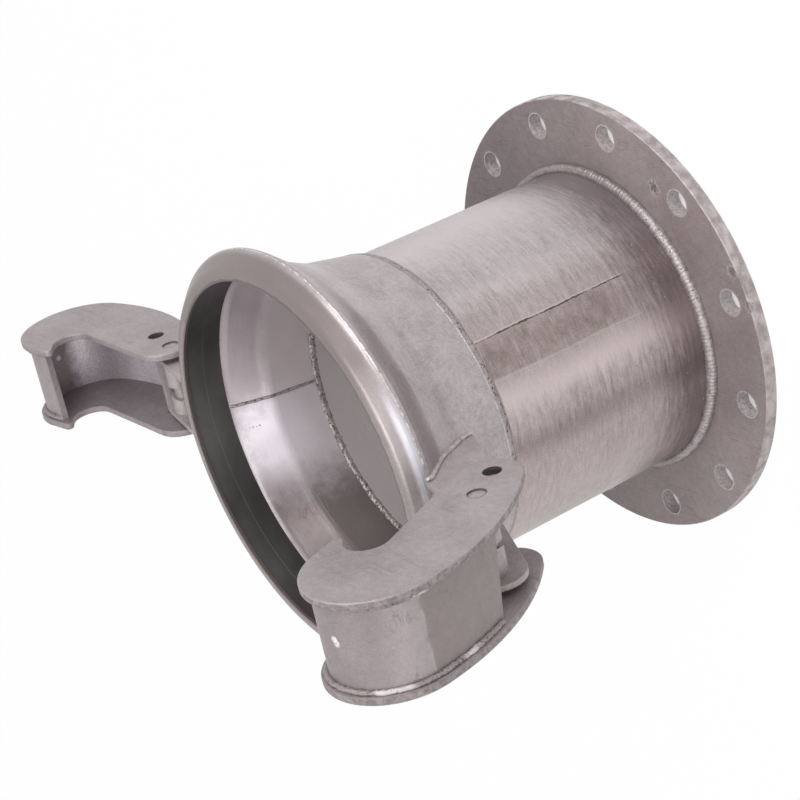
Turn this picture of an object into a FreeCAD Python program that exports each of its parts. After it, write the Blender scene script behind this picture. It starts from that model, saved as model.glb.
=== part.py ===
"""Flanged pipe coupling half with a bell mouth and two hook levers.

The part stands on its flange: the sealing face lies in the plane z = 0 and the
pipe axis is the Z axis. The two hook levers lie on the X axis, one on each side
of the bell, and turn on pins parallel to Y. Side A of a lever is the +Y side.
All sizes are in millimetres and all angles in degrees.
"""

import FreeCAD, Part
import math
import os

Vector = FreeCAD.Vector

# Plate flange
FLANGE_DIAMETER = 395.0
FLANGE_THICKNESS = 12.0
FLANGE_EDGE_BREAK = 0.8
FLANGE_BORE_CLEARANCE = 0.5
BOLT_CIRCLE_INSET = 22.5
BOLT_HOLE_DIAMETER = 22.0
BOLT_HOLE_COUNT = 12

# Pipe stub, set back behind the sealing face to leave room for the inner weld
PIPE_DIAMETER = 267.0
PIPE_WALL = 3.0
PIPE_SETBACK = 5.0
PIPE_TOP = 227.5

# Bell socket, pressed from sheet: neck over the pipe's end, cone, valley, rolled rim and lip
BELL_WALL = 2.5
NECK_CLEARANCE = 1.5
NECK_OVERLAP = 3.0
NECK_ANGLE = 11.0
NECK_HEIGHT = 46.4
NECK_BEND_RADIUS = 30.0
CONE_ANGLE = 24.8
CONE_HEIGHT = 29.1
VALLEY_RADIUS = 12.0
REAR_FLANK_ANGLE = 40.0
REAR_FLANK_HEIGHT = 27.5
CROWN_RADIUS = 6.0
FRONT_FLANK_ANGLE = 45.4
FRONT_FLANK_HEIGHT = 14.8
LIP_BEND_RADIUS = 9.0
LIP_WIDTH = 9.3

# Rubber ring that lies in the rolled rim
SEAL_CLEARANCE = 0.2
SEAL_REAR_COVER = 5.0
SEAL_LIP_SETBACK = 1.3
SEAL_CROWNING = 1.6

# Ring welds
FLANGE_WELD_LEG = 8.0
FLANGE_WELD_CROWN = 0.7
FLANGE_INNER_WELD_LEG = 4.5
FLANGE_INNER_WELD_CROWN = 0.5
NECK_WELD_REACH_BACK = 3.0
NECK_WELD_REACH_FRONT = 9.5
NECK_WELD_CROWN = 1.6
ROOT_WELD_REACH_BACK = 2.0
ROOT_WELD_REACH_FRONT = 3.5
ROOT_WELD_CROWN = 0.8

# Lugs: two flat tabs a side, tied near the pin by a flat bar
LUG_THICKNESS = 5.0
LUG_TO_LEVER_GAP = 5.0
LUG_END_RADIUS = 25.0
LUG_FRONT_EDGE_OFFSET = 12.5
LUG_FRONT_ROOT_REACH = 4.0
LUG_REAR_ROOT_HEIGHT = 35.5
LUG_FOOT_DEPTH = 8.0
LUG_EDGE_RADIUS = 0.8
LUG_INNER_WELD_LEG = 5.0
LUG_OUTER_WELD_LEG = 4.0
TIE_THICKNESS = 5.0
TIE_END_SETBACK = 1.0
TIE_TO_BUSH_GAP = 0.8

# Pivot pins, placed from the rim's crown and the mouth, and the bushes between the tabs
PIN_DIAMETER = 14.0
PIN_RUNNING_CLEARANCE = 0.05
PIN_RECESS = 1.5
PIN_TO_CROWN = 65.96
PIN_TO_MOUTH_RIGHT = 9.3
PIN_TO_MOUTH_LEFT = 39.1
BUSH_WALL = 4.0
BUSH_LENGTH_A = 22.0
BUSH_LENGTH_B = 22.0
BUSH_SLANT_ANGLE = 25.0

# Angle of each lever from the outward direction towards the mouth, and the hole that it turns on
LEVER_ANGLE = {"right": 56.5, "left": -7.2}
PIN_IN_END_HOLE = {"right": False, "left": True}

# Hook lever: two profiled plates and a bent web between them
LEVER_WIDTH = 80.0
LEVER_PLATE = 6.0
LEVER_EDGE_RADIUS = 0.8
HOLE_PITCH = 34.0
END_CENTRE_ALONG = 6.1
END_CENTRE_ACROSS = 1.5
END_RADIUS = 26.7
NOSE_CENTRE_ALONG = 135.8
NOSE_CENTRE_ACROSS = 40.4
NOSE_RADIUS = 52.9
SHOULDER_RADIUS = 67.1
SHOULDER_ANGLE = -55.4
BACK_RADIUS = 232.8
TOP_ANGLE = 14.5
TOP_LENGTH = 22.9
TOOTH_TIP_RADIUS = 4.0
BAY_CENTRE_ALONG = 98.7
BAY_CENTRE_ACROSS = 59.3
BAY_RADIUS = 17.7
WEB_INSET = 6.0
WEB_TIP_INSET = 1.5
WEB_THICKNESS = 6.0
WEB_END = 78.5
WEB_END_SKEW = 17.0
WEB_TIP_SETBACK = 5.0
LEVER_WELD_LEG = 4.0

PIPE_RADIUS = PIPE_DIAMETER / 2
PIPE_BORE_RADIUS = PIPE_RADIUS - PIPE_WALL
BUSH_RADIUS = PIN_DIAMETER / 2 + BUSH_WALL
PIN_TO_MOUTH = {"right": PIN_TO_MOUTH_RIGHT, "left": PIN_TO_MOUTH_LEFT}


def rz(radius, height):
    """Point in the half plane through the pipe axis."""
    return Vector(radius, 0, height)


def direction(angle):
    """Unit vector in the X-Y plane."""
    return Vector(math.cos(math.radians(angle)), math.sin(math.radians(angle)), 0)


def heading(vector):
    """Angle of a vector in the X-Y plane."""
    return math.degrees(math.atan2(vector.y, vector.x))


def line_crossing(start_a, along_a, start_b, along_b):
    """Crossing point of two lines in the X-Z plane."""
    cross = along_a.x * along_b.z - along_a.z * along_b.x
    apart = start_b - start_a
    return start_a + along_a * ((apart.x * along_b.z - apart.z * along_b.x) / cross)


def offset_path(points, distance):
    """Corner points of an open path in the X-Z plane, moved to its left by a distance."""
    runs = [(end - start).normalize() for start, end in zip(points, points[1:])]
    shifts = [Vector(-run.z, 0, run.x) * distance for run in runs]
    moved = [points[0] + shifts[0]]
    for index, corner in enumerate(points[1:-1]):
        before = corner + shifts[index]
        moved.append(line_crossing(before, runs[index], corner + shifts[index + 1], runs[index + 1]))
    moved.append(points[-1] + shifts[-1])
    return moved


def rounded_path(points, radii):
    """Edges of an open path whose inner corners are rounded by arcs."""
    edges = []
    start = points[0]
    for before, corner, after, radius in zip(points, points[1:], points[2:], radii):
        back = (before - corner).normalize()
        ahead = (after - corner).normalize()
        half = back.getAngle(ahead) / 2
        reach = radius / math.tan(half)
        middle = (back + ahead).normalize() * (radius / math.sin(half) - radius)
        edges.append(Part.LineSegment(start, corner + back * reach).toShape())
        edges.append(Part.Arc(corner + back * reach, corner + middle, corner + ahead * reach).toShape())
        start = corner + ahead * reach
    edges.append(Part.LineSegment(start, points[-1]).toShape())
    return edges


def closed_face(edges):
    """Flat face inside edges that close on themselves."""
    return Part.Face(Part.Wire(Part.__sortEdges__(edges)))


def revolve(edges):
    """Ring swept round the pipe axis by a closed section."""
    return closed_face(edges).revolve(Vector(0, 0, 0), Vector(0, 0, 1), 360)


def segment(start, end):
    """Straight edge."""
    return Part.LineSegment(start, end).toShape()


def polygon(points):
    """Edges of a closed polygon."""
    return [segment(start, end) for start, end in zip(points, points[1:] + points[:1])]


def sloped(angle, height):
    """Step up by a height along a line that leans outwards by an angle from the pipe axis."""
    return rz(height * math.tan(math.radians(angle)), height)


def bell_corners():
    """Corner points of the bell's outer skin, from the neck to the lip."""
    neck = rz(PIPE_RADIUS + NECK_CLEARANCE + BELL_WALL, PIPE_TOP - NECK_OVERLAP)
    cone = neck + sloped(NECK_ANGLE, NECK_HEIGHT)
    valley = cone + sloped(CONE_ANGLE, CONE_HEIGHT)
    crown = valley + sloped(REAR_FLANK_ANGLE, REAR_FLANK_HEIGHT)
    bend = crown + sloped(-FRONT_FLANK_ANGLE, FRONT_FLANK_HEIGHT)
    return [neck, cone, valley, crown, bend, bend - rz(LIP_WIDTH, 0)]


def bell_skin(depth):
    """The bell's corners and its rounded profile at a depth below its outer skin."""
    corners = offset_path(bell_corners(), depth)
    hollow = [NECK_BEND_RADIUS + depth, VALLEY_RADIUS + depth]
    return corners, rounded_path(corners, hollow + [CROWN_RADIUS - depth, LIP_BEND_RADIUS - depth])


def make_flange():
    """Drilled plate that slips over the pipe."""
    plate = Part.makeCylinder(FLANGE_DIAMETER / 2, FLANGE_THICKNESS)
    rims = [edge for edge in plate.Edges if isinstance(edge.Curve, Part.Circle)]
    plate = plate.makeChamfer(FLANGE_EDGE_BREAK, rims)
    plate = plate.cut(Part.makeCylinder(PIPE_RADIUS + FLANGE_BORE_CLEARANCE, FLANGE_THICKNESS))
    for index in range(BOLT_HOLE_COUNT):
        place = direction((index + 0.5) * 360 / BOLT_HOLE_COUNT) * (FLANGE_DIAMETER / 2 - BOLT_CIRCLE_INSET)
        plate = plate.cut(Part.makeCylinder(BOLT_HOLE_DIAMETER / 2, FLANGE_THICKNESS, place))
    return plate


def make_pipe():
    """Plain tube between the flange and the bell."""
    foot = Vector(0, 0, PIPE_SETBACK)
    outside = Part.makeCylinder(PIPE_RADIUS, PIPE_TOP - PIPE_SETBACK, foot)
    return outside.cut(Part.makeCylinder(PIPE_BORE_RADIUS, PIPE_TOP - PIPE_SETBACK, foot))


def make_bell():
    """Sheet bell of even wall with a rolled rim."""
    outer_corners, outer = bell_skin(0)
    inner_corners, inner = bell_skin(BELL_WALL)
    neck_end = segment(outer_corners[0], rz(inner_corners[0].x, outer_corners[0].z))
    neck_run = segment(rz(inner_corners[0].x, outer_corners[0].z), inner_corners[0])
    lip_end = segment(outer_corners[-1], inner_corners[-1])
    return revolve(outer + inner + [neck_end, neck_run, lip_end])


def make_bell_envelope(growth):
    """Filled body of the bell, grown on the outside."""
    corners, skin = bell_skin(-growth)
    base = rz(0, corners[0].z)
    top = rz(0, corners[-1].z)
    return revolve(skin + [segment(corners[-1], top), segment(top, base), segment(base, corners[0])])


def make_seal():
    """Rubber ring, a little smaller than the hollow of the rim, with a crowned inner face."""
    depth = BELL_WALL + SEAL_CLEARANCE
    valley, crown, bend, lip = bell_skin(depth)[0][2:]
    rear = valley + (crown - valley).normalize() * SEAL_REAR_COVER
    front = lip + rz(SEAL_LIP_SETBACK, 0)
    back = rounded_path([rear, crown, bend, front], [CROWN_RADIUS - depth, LIP_BEND_RADIUS - depth])
    waist = rz((rear.x + front.x) / 2 - SEAL_CROWNING, (rear.z + front.z) / 2)
    face = Part.Arc(front, waist, rear).toShape()
    return revolve(back + [face])


def make_flange_weld_outer():
    """Fillet weld in the corner between the pipe and the flange."""
    corner = rz(PIPE_RADIUS, FLANGE_THICKNESS)
    up = corner + rz(0, FLANGE_WELD_LEG)
    out = corner + rz(FLANGE_WELD_LEG, 0)
    bulge = (up + out) / 2 + rz(FLANGE_WELD_CROWN, FLANGE_WELD_CROWN)
    return revolve([segment(corner, out), Part.Arc(out, bulge, up).toShape(), segment(up, corner)])


def make_flange_weld_inner():
    """Weld between the end of the pipe and the bore of the flange."""
    inner = rz(PIPE_BORE_RADIUS, PIPE_SETBACK)
    outer = rz(PIPE_RADIUS + FLANGE_BORE_CLEARANCE, PIPE_SETBACK)
    foot = outer - rz(0, FLANGE_INNER_WELD_LEG)
    outward = Vector(inner.z - foot.z, 0, foot.x - inner.x).normalize()
    bulge = (inner + foot) / 2 - outward * FLANGE_INNER_WELD_CROWN
    return revolve([segment(inner, outer), segment(outer, foot), Part.Arc(foot, bulge, inner).toShape()])


def make_neck_weld_outer():
    """Broad weld from the pipe over the end of the bell's neck."""
    neck, cone = bell_corners()[:2]
    start = rz(PIPE_RADIUS, neck.z - NECK_WELD_REACH_BACK)
    foot = rz(PIPE_RADIUS, neck.z)
    end = neck + (cone - neck) * (NECK_WELD_REACH_FRONT / NECK_HEIGHT)
    crown = neck + rz(NECK_WELD_CROWN, 0)
    under = [segment(start, foot), segment(foot, neck), segment(neck, end)]
    return revolve(under + [Part.Arc(start, crown, end).toShape()])


def make_neck_weld_inner():
    """Root bead from the pipe's end to the inside of the bell's neck."""
    neck, cone = offset_path(bell_corners(), BELL_WALL)[:2]
    run = (cone - neck) / (cone.z - neck.z)
    below = rz(PIPE_BORE_RADIUS, PIPE_TOP - ROOT_WELD_REACH_BACK)
    corner = rz(PIPE_BORE_RADIUS, PIPE_TOP)
    wall = neck + run * (PIPE_TOP - neck.z)
    toe = wall + run * ROOT_WELD_REACH_FRONT
    crown = corner + rz(-ROOT_WELD_CROWN, ROOT_WELD_CROWN)
    under = [segment(below, corner), segment(corner, wall), segment(wall, toe)]
    return revolve(under + [Part.Arc(toe, crown, below).toShape()])


def soften(plate, radius, across):
    """Round the edges round both faces of a flat plate whose thickness lies along an axis."""
    rims = [edge for edge in plate.Edges if abs(edge.tangentAt(edge.FirstParameter).dot(across)) < 0.5]
    return plate.makeFillet(radius, rims)


def pin_centre(side):
    """Pin axis of one side, in the half plane in which its lever moves."""
    crown, mouth = bell_corners()[3:5]
    return rz(crown.x + PIN_TO_CROWN, mouth.z - PIN_TO_MOUTH[side])


def plate_across(edges, thickness, middle):
    """Flat plate of a thickness, square to the Y axis, with its middle at a Y place."""
    face = closed_face(edges)
    face.translate(Vector(0, middle - thickness / 2, 0))
    return face.extrude(Vector(0, thickness, 0))


def rod_across(radius, start, end, centre):
    """Round bar along Y."""
    return Part.makeCylinder(radius, end - start, Vector(centre.x, start, centre.z), Vector(0, 1, 0))


def to_side(shape, side):
    """Turn a shape that was drawn on the +X side to its own side."""
    if side == "left":
        return shape.mirror(Vector(0, 0, 0), Vector(1, 0, 0))
    return shape


def lug_middle():
    """Distance of each tab's middle from the plane in which the levers move."""
    return LEVER_WIDTH / 2 - LEVER_PLATE - LUG_TO_LEVER_GAP - LUG_THICKNESS / 2


def lug_front_root():
    """Point on the front of the rim from which a tab's front edge starts."""
    crown, bend = bell_corners()[3:5]
    return crown + (bend - crown).normalize() * LUG_FRONT_ROOT_REACH


def lug_front_line(pin):
    """Point over the pin and outward direction of a tab's front edge."""
    over_pin = pin + rz(0, LUG_FRONT_EDGE_OFFSET)
    return over_pin, (over_pin - lug_front_root()).normalize()


def lug_front_corner(pin):
    """Nearest point of the front edge's line to the pin, and its far end on the round end."""
    over_pin, outward = lug_front_line(pin)
    nearest = over_pin + outward * (pin - over_pin).dot(outward)
    half_chord = math.sqrt(LUG_END_RADIUS ** 2 - (nearest - pin).Length ** 2)
    return nearest, nearest + outward * half_chord


def lug_outline(pin):
    """Outline of a tab, from inside the bell to the round end about the pin."""
    neck, cone, _, crown = bell_corners()[:4]
    outward = lug_front_line(pin)[1]
    front_foot = lug_front_root() - outward * LUG_FOOT_DEPTH
    front_corner = lug_front_corner(pin)[1]
    rear_root = neck + (cone - neck) * (LUG_REAR_ROOT_HEIGHT / NECK_HEIGHT)
    to_pin = pin - rear_root
    rise = math.atan2(to_pin.z, to_pin.x) - math.asin(LUG_END_RADIUS / to_pin.Length)
    rear_touch = pin + rz(math.sin(rise), -math.cos(rise)) * LUG_END_RADIUS
    rear_foot = rear_root - rz(math.cos(rise), math.sin(rise)) * LUG_FOOT_DEPTH
    bulge = pin + ((rear_touch - pin) + (front_corner - pin)).normalize() * LUG_END_RADIUS
    corner = rz(rear_foot.x, crown.z)
    return [
        segment(front_foot, front_corner),
        Part.Arc(front_corner, bulge, rear_touch).toShape(),
        segment(rear_touch, rear_foot),
        segment(rear_foot, corner),
        segment(corner, front_foot),
    ]


def make_lug(side, letter):
    """Tab of one lug, cut to the bell and bored for the pin."""
    pin = pin_centre(side)
    middle = lug_middle() if letter == "a" else -lug_middle()
    tab = soften(plate_across(lug_outline(pin), LUG_THICKNESS, middle), LUG_EDGE_RADIUS, Vector(0, 1, 0))
    tab = tab.cut(rod_across(PIN_DIAMETER / 2, -LEVER_WIDTH, LEVER_WIDTH, pin))
    return to_side(tab.cut(make_bell_envelope(0)), side)


def make_lug_welds(side):
    """Beads on both faces of each tab where it meets the bell, low where the lever plates pass."""
    outline = lug_outline(pin_centre(side))
    beads = []
    for sign in (1, -1):
        for leg, way in ((LUG_INNER_WELD_LEG, -1), (LUG_OUTER_WELD_LEG, 1)):
            reach = make_bell_envelope(leg).cut(make_bell_envelope(0))
            middle = sign * (lug_middle() + way * (LUG_THICKNESS + leg) / 2)
            beads.append(plate_across(outline, leg, middle).common(reach))
    return to_side(Part.makeCompound(beads), side)


def make_tie(side):
    """Flat bar that ties the two tabs along their front edges, just clear of the bushes."""
    pin = pin_centre(side)
    outward = lug_front_line(pin)[1]
    nearest, corner = lug_front_corner(pin)
    inner_face = (nearest - pin).Length - TIE_THICKNESS
    start = nearest + outward * math.sqrt((BUSH_RADIUS + TIE_TO_BUSH_GAP) ** 2 - inner_face ** 2)
    end = corner - outward * TIE_END_SETBACK
    inward_depth = rz(outward.z, -outward.x) * TIE_THICKNESS
    outline = polygon([start, end, end + inward_depth, start + inward_depth])
    return to_side(plate_across(outline, 2 * lug_middle() - LUG_THICKNESS, 0), side)


def make_pin(side):
    """Pivot pin, its ends a little below the outer faces of the lever."""
    half = LEVER_WIDTH / 2 - PIN_RECESS
    return to_side(rod_across(PIN_DIAMETER / 2, -half, half, pin_centre(side)), side)


def make_bush(side, letter):
    """Spacer bush on the pin, with a slanted inner end on side B."""
    pin = pin_centre(side)
    inner_face = lug_middle() - LUG_THICKNESS / 2
    if letter == "a":
        start, end = inner_face - BUSH_LENGTH_A, inner_face
    else:
        start, end = -inner_face, -inner_face + BUSH_LENGTH_B
    bush = rod_across(BUSH_RADIUS, start, end, pin)
    bush = bush.cut(rod_across(PIN_DIAMETER / 2, -inner_face, inner_face, pin))
    if letter == "b":
        corner = Vector(pin.x - BUSH_RADIUS, end, pin.z - 2 * BUSH_RADIUS)
        knife = Part.makeBox(4 * BUSH_RADIUS, 2 * BUSH_RADIUS, 4 * BUSH_RADIUS, corner)
        knife.rotate(Vector(pin.x + BUSH_RADIUS, end, pin.z), Vector(0, 0, 1), BUSH_SLANT_ANGLE)
        bush = bush.cut(knife)
    return to_side(bush, side)


def circle_crossing(centre_a, radius_a, centre_b, radius_b):
    """Crossing of two circles that lies to the left of the way from A to B."""
    apart = centre_b - centre_a
    along = (radius_a ** 2 - radius_b ** 2 + apart.Length ** 2) / (2 * apart.Length)
    unit = Vector(apart).normalize()
    return centre_a + unit * along + Vector(-unit.y, unit.x, 0) * math.sqrt(radius_a ** 2 - along ** 2)


def cross_tangent(centre_a, radius_a, centre_b, radius_b, turn):
    """Ends of the line that touches two circles on opposite sides."""
    apart = centre_b - centre_a
    lean = math.degrees(math.acos((radius_a + radius_b) / apart.Length))
    normal = direction(heading(apart) + turn * lean)
    return centre_a + normal * radius_a, centre_b - normal * radius_b


def sweep_arc(centre, start, end, sense):
    """Arc about a centre between two points, +1 for counter-clockwise."""
    first = heading(start - centre)
    turn = (heading(end - centre) - first) * sense % 360
    middle = centre + direction(first + sense * turn / 2) * (start - centre).Length
    return Part.Arc(start, middle, end).toShape()


class HookShape:
    """Tangent points of a lever's outline, drawn in its own plane.

    The origin is the end hole, the X axis runs through both holes towards the
    nose, and the concave side faces +Y.
    """

    def __init__(self, inset=0.0):
        """Work out the outer run, moved inwards by an inset."""
        self.end_centre = Vector(END_CENTRE_ALONG, END_CENTRE_ACROSS, 0)
        self.nose_centre = Vector(NOSE_CENTRE_ALONG, NOSE_CENTRE_ACROSS, 0)
        self.shoulder_centre = self.nose_centre - direction(SHOULDER_ANGLE) * (SHOULDER_RADIUS - NOSE_RADIUS)
        self.back_centre = circle_crossing(
            self.end_centre, BACK_RADIUS - END_RADIUS, self.shoulder_centre, BACK_RADIUS - SHOULDER_RADIUS
        )
        to_end = direction(heading(self.end_centre - self.back_centre))
        to_shoulder = direction(heading(self.shoulder_centre - self.back_centre))
        self.end_to_back = self.back_centre + to_end * (BACK_RADIUS - inset)
        self.back_to_shoulder = self.back_centre + to_shoulder * (BACK_RADIUS - inset)
        self.shoulder_to_nose = self.nose_centre + direction(SHOULDER_ANGLE) * (NOSE_RADIUS - inset)
        self.top_normal = direction(TOP_ANGLE + 90)
        self.nose_to_top = self.nose_centre + self.top_normal * (NOSE_RADIUS - inset)
        self.top_end = self.nose_to_top - direction(TOP_ANGLE) * TOP_LENGTH

    def outer_run(self):
        """Back, shoulder and nose arcs, from the end to the top edge."""
        return [
            sweep_arc(self.back_centre, self.end_to_back, self.back_to_shoulder, 1),
            sweep_arc(self.shoulder_centre, self.back_to_shoulder, self.shoulder_to_nose, 1),
            sweep_arc(self.nose_centre, self.shoulder_to_nose, self.nose_to_top, 1),
        ]


def hook_outline():
    """Closed outline of a lever plate: end, back, nose, tooth, bay and inner edge."""
    hook = HookShape()
    tip_centre = hook.top_end - hook.top_normal * TOOTH_TIP_RADIUS
    bay_centre = Vector(BAY_CENTRE_ALONG, BAY_CENTRE_ACROSS, 0)
    tip_leave, bay_start = cross_tangent(tip_centre, TOOTH_TIP_RADIUS, bay_centre, BAY_RADIUS, -1)
    inner_end, bay_end = cross_tangent(hook.end_centre, END_RADIUS, bay_centre, BAY_RADIUS, 1)
    return hook.outer_run() + [
        segment(hook.nose_to_top, hook.top_end),
        sweep_arc(tip_centre, hook.top_end, tip_leave, 1),
        segment(tip_leave, bay_start),
        sweep_arc(bay_centre, bay_start, bay_end, -1),
        segment(bay_end, inner_end),
        sweep_arc(hook.end_centre, inner_end, hook.end_to_back, 1),
    ]


def hole_centres():
    """The end hole and the second hole of a lever."""
    return [Vector(0, 0, 0), Vector(HOLE_PITCH, 0, 0)]


def lever_plate_level(letter):
    """Lower face of a lever plate in the lever's own frame, whose Z axis ends up along -Y."""
    return -LEVER_WIDTH / 2 if letter == "a" else LEVER_WIDTH / 2 - LEVER_PLATE


def place_lever(shape, side):
    """Carry a shape from the lever's own plane to its place on the part."""
    hole = hole_centres()[0 if PIN_IN_END_HOLE[side] else 1]
    shape.translate(-hole)
    shape.rotate(Vector(0, 0, 0), Vector(0, 0, 1), LEVER_ANGLE[side])
    shape.rotate(Vector(0, 0, 0), Vector(1, 0, 0), 90)
    shape.translate(pin_centre(side))
    return to_side(shape, side)


def make_lever_plate(side, letter):
    """Profiled plate of a lever with its two holes."""
    face = closed_face(hook_outline())
    face.translate(Vector(0, 0, lever_plate_level(letter)))
    plate = soften(face.extrude(Vector(0, 0, LEVER_PLATE)), LEVER_EDGE_RADIUS, Vector(0, 0, 1))
    radius = PIN_DIAMETER / 2 + PIN_RUNNING_CLEARANCE
    for centre in hole_centres():
        plate = plate.cut(Part.makeCylinder(radius, 2 * LEVER_WIDTH, centre - Vector(0, 0, LEVER_WIDTH)))
    return place_lever(plate, side)


def band(outer_inset, tip_inset, depth):
    """Closed band that follows the lever's back, nose and top edge at an inset."""
    outer = HookShape(outer_inset)
    inner = HookShape(outer_inset + depth)
    lean = Vector(outer.top_normal) * (outer_inset - tip_inset)
    outer_tip = outer.top_end + lean
    inner_tip = inner.top_end + lean
    outer_edges = outer.outer_run() + [segment(outer.nose_to_top, outer_tip)]
    inner_edges = inner.outer_run() + [segment(inner.nose_to_top, inner_tip)]
    return outer_edges + inner_edges + [
        segment(outer.end_to_back, inner.end_to_back),
        segment(outer_tip, inner_tip),
    ]


def band_body(edges, low, high):
    """Body of a band between two levels across the lever."""
    face = closed_face(edges)
    face.translate(Vector(0, 0, low))
    return face.extrude(Vector(0, 0, high - low))


def lever_trim():
    """Body that cuts the band off along its slanted end, with the wide side at the end hole."""
    half = LEVER_WIDTH / 2
    near = WEB_END - WEB_END_SKEW / 2
    far = WEB_END + WEB_END_SKEW / 2
    corners = [Vector(-LEVER_WIDTH, -LEVER_WIDTH, half), Vector(far, -LEVER_WIDTH, half)]
    corners = corners + [Vector(near, -LEVER_WIDTH, -half), Vector(-LEVER_WIDTH, -LEVER_WIDTH, -half)]
    return closed_face(polygon(corners)).extrude(Vector(0, LEVER_WIDTH, 0))


def make_web(side):
    """Bent web between the two plates, open at the bay and at the pin end."""
    half = LEVER_WIDTH / 2 - LEVER_PLATE
    web = band_body(band(WEB_INSET, WEB_TIP_INSET, WEB_THICKNESS), -half, half)
    keep = closed_face(hook_outline())
    keep.translate(Vector(0, 0, -half))
    web = web.common(keep.extrude(Vector(0, 0, 2 * half))).cut(lever_trim())
    tip_side = HookShape().top_end + direction(TOP_ANGLE) * (WEB_TIP_SETBACK - LEVER_WIDTH)
    low_corner = Vector(0, -LEVER_WIDTH / 2, -LEVER_WIDTH)
    cutter = Part.makeBox(LEVER_WIDTH, LEVER_WIDTH, 2 * LEVER_WIDTH, low_corner)
    cutter.rotate(Vector(0, 0, 0), Vector(0, 0, 1), TOP_ANGLE)
    cutter.translate(tip_side)
    return place_lever(web.cut(cutter), side)


def make_lever_welds(side):
    """Beads in the outer corners between the web and the plates."""
    half = LEVER_WIDTH / 2 - LEVER_PLATE
    beads = []
    for low, high in ((half - LEVER_WELD_LEG, half), (-half, -half + LEVER_WELD_LEG)):
        bead = band_body(band(WEB_INSET - LEVER_WELD_LEG, WEB_TIP_INSET, LEVER_WELD_LEG), low, high)
        web = band_body(band(WEB_INSET, WEB_TIP_INSET, WEB_THICKNESS), low, high)
        beads.append(bead.cut(web).cut(lever_trim()))
    return place_lever(Part.makeCompound(beads), side)


def save(name, shape):
    """Write one sub-part."""
    shape.exportStep("parts/" + name + ".step")


def main():
    """Build every sub-part."""
    os.makedirs("parts", exist_ok=True)
    save("flange_plate", make_flange())
    save("pipe_stub", make_pipe())
    save("bell_socket", make_bell())
    save("seal_ring", make_seal())
    save("flange_weld_outer", make_flange_weld_outer())
    save("flange_weld_inner", make_flange_weld_inner())
    save("neck_weld_outer", make_neck_weld_outer())
    save("neck_weld_inner", make_neck_weld_inner())
    for side in ("right", "left"):
        for letter in ("a", "b"):
            save(side + "_lug_tab_" + letter, make_lug(side, letter))
            save(side + "_pin_bush_" + letter, make_bush(side, letter))
            save(side + "_lever_plate_" + letter, make_lever_plate(side, letter))
        save(side + "_lug_welds", make_lug_welds(side))
        save(side + "_lug_tie_bar", make_tie(side))
        save(side + "_pivot_pin", make_pin(side))
        save(side + "_lever_web", make_web(side))
        save(side + "_lever_welds", make_lever_welds(side))


main()
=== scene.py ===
import logging
import math
from collections.abc import Sequence
from dataclasses import astuple, dataclass
from enum import Enum
from typing import Any

import bpy
from mathutils import Matrix, Vector


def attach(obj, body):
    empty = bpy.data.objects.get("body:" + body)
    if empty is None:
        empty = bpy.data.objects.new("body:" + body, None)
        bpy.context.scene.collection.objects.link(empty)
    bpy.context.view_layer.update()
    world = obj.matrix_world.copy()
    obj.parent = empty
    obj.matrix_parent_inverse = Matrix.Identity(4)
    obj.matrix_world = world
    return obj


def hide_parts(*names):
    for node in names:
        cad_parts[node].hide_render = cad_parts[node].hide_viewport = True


# Looks of a flanged pipe coupling half with a bell mouth, a rubber ring and two hook levers.
# It stands on its flange, the pipe along Z and the levers along X, in metres.

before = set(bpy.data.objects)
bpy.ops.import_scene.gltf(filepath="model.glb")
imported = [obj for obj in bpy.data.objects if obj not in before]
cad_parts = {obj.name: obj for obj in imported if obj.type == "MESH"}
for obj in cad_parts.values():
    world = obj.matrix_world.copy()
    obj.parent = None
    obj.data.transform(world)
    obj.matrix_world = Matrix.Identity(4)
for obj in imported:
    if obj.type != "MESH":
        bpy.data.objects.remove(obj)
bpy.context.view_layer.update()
LOG = logging.getLogger("coupling")
WHITE = (1.0, 1.0, 1.0, 1.0)
ARC_STEPS = 32
SEAM_STEPS = 40
SEAT_STEPS = 48

Colour = tuple[float, float, float]
Point = tuple[float, float, float]
Place = tuple[float, float]
# Where a mask is 0 and where it is 1.
Fade = tuple[float, float]
# Both ends of a band.
Span = tuple[float, float]
# Points of a line, and whether it closes on itself.
Path = tuple[list[Point], bool]


class Body(Enum):
    """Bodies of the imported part."""

    SOCKET = "socket"
    RIGHT = "right_lever"
    LEFT = "left_lever"


class Side(Enum):
    """Sides of the bell that carry a lever, with their direction along X."""

    RIGHT = 1
    LEFT = -1

    @property
    def word(self) -> str:
        """Name of the side as the nodes write it."""
        return self.name.lower()

    @property
    def body(self) -> Body:
        """Body of this side's lever."""
        return Body[self.name]


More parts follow.
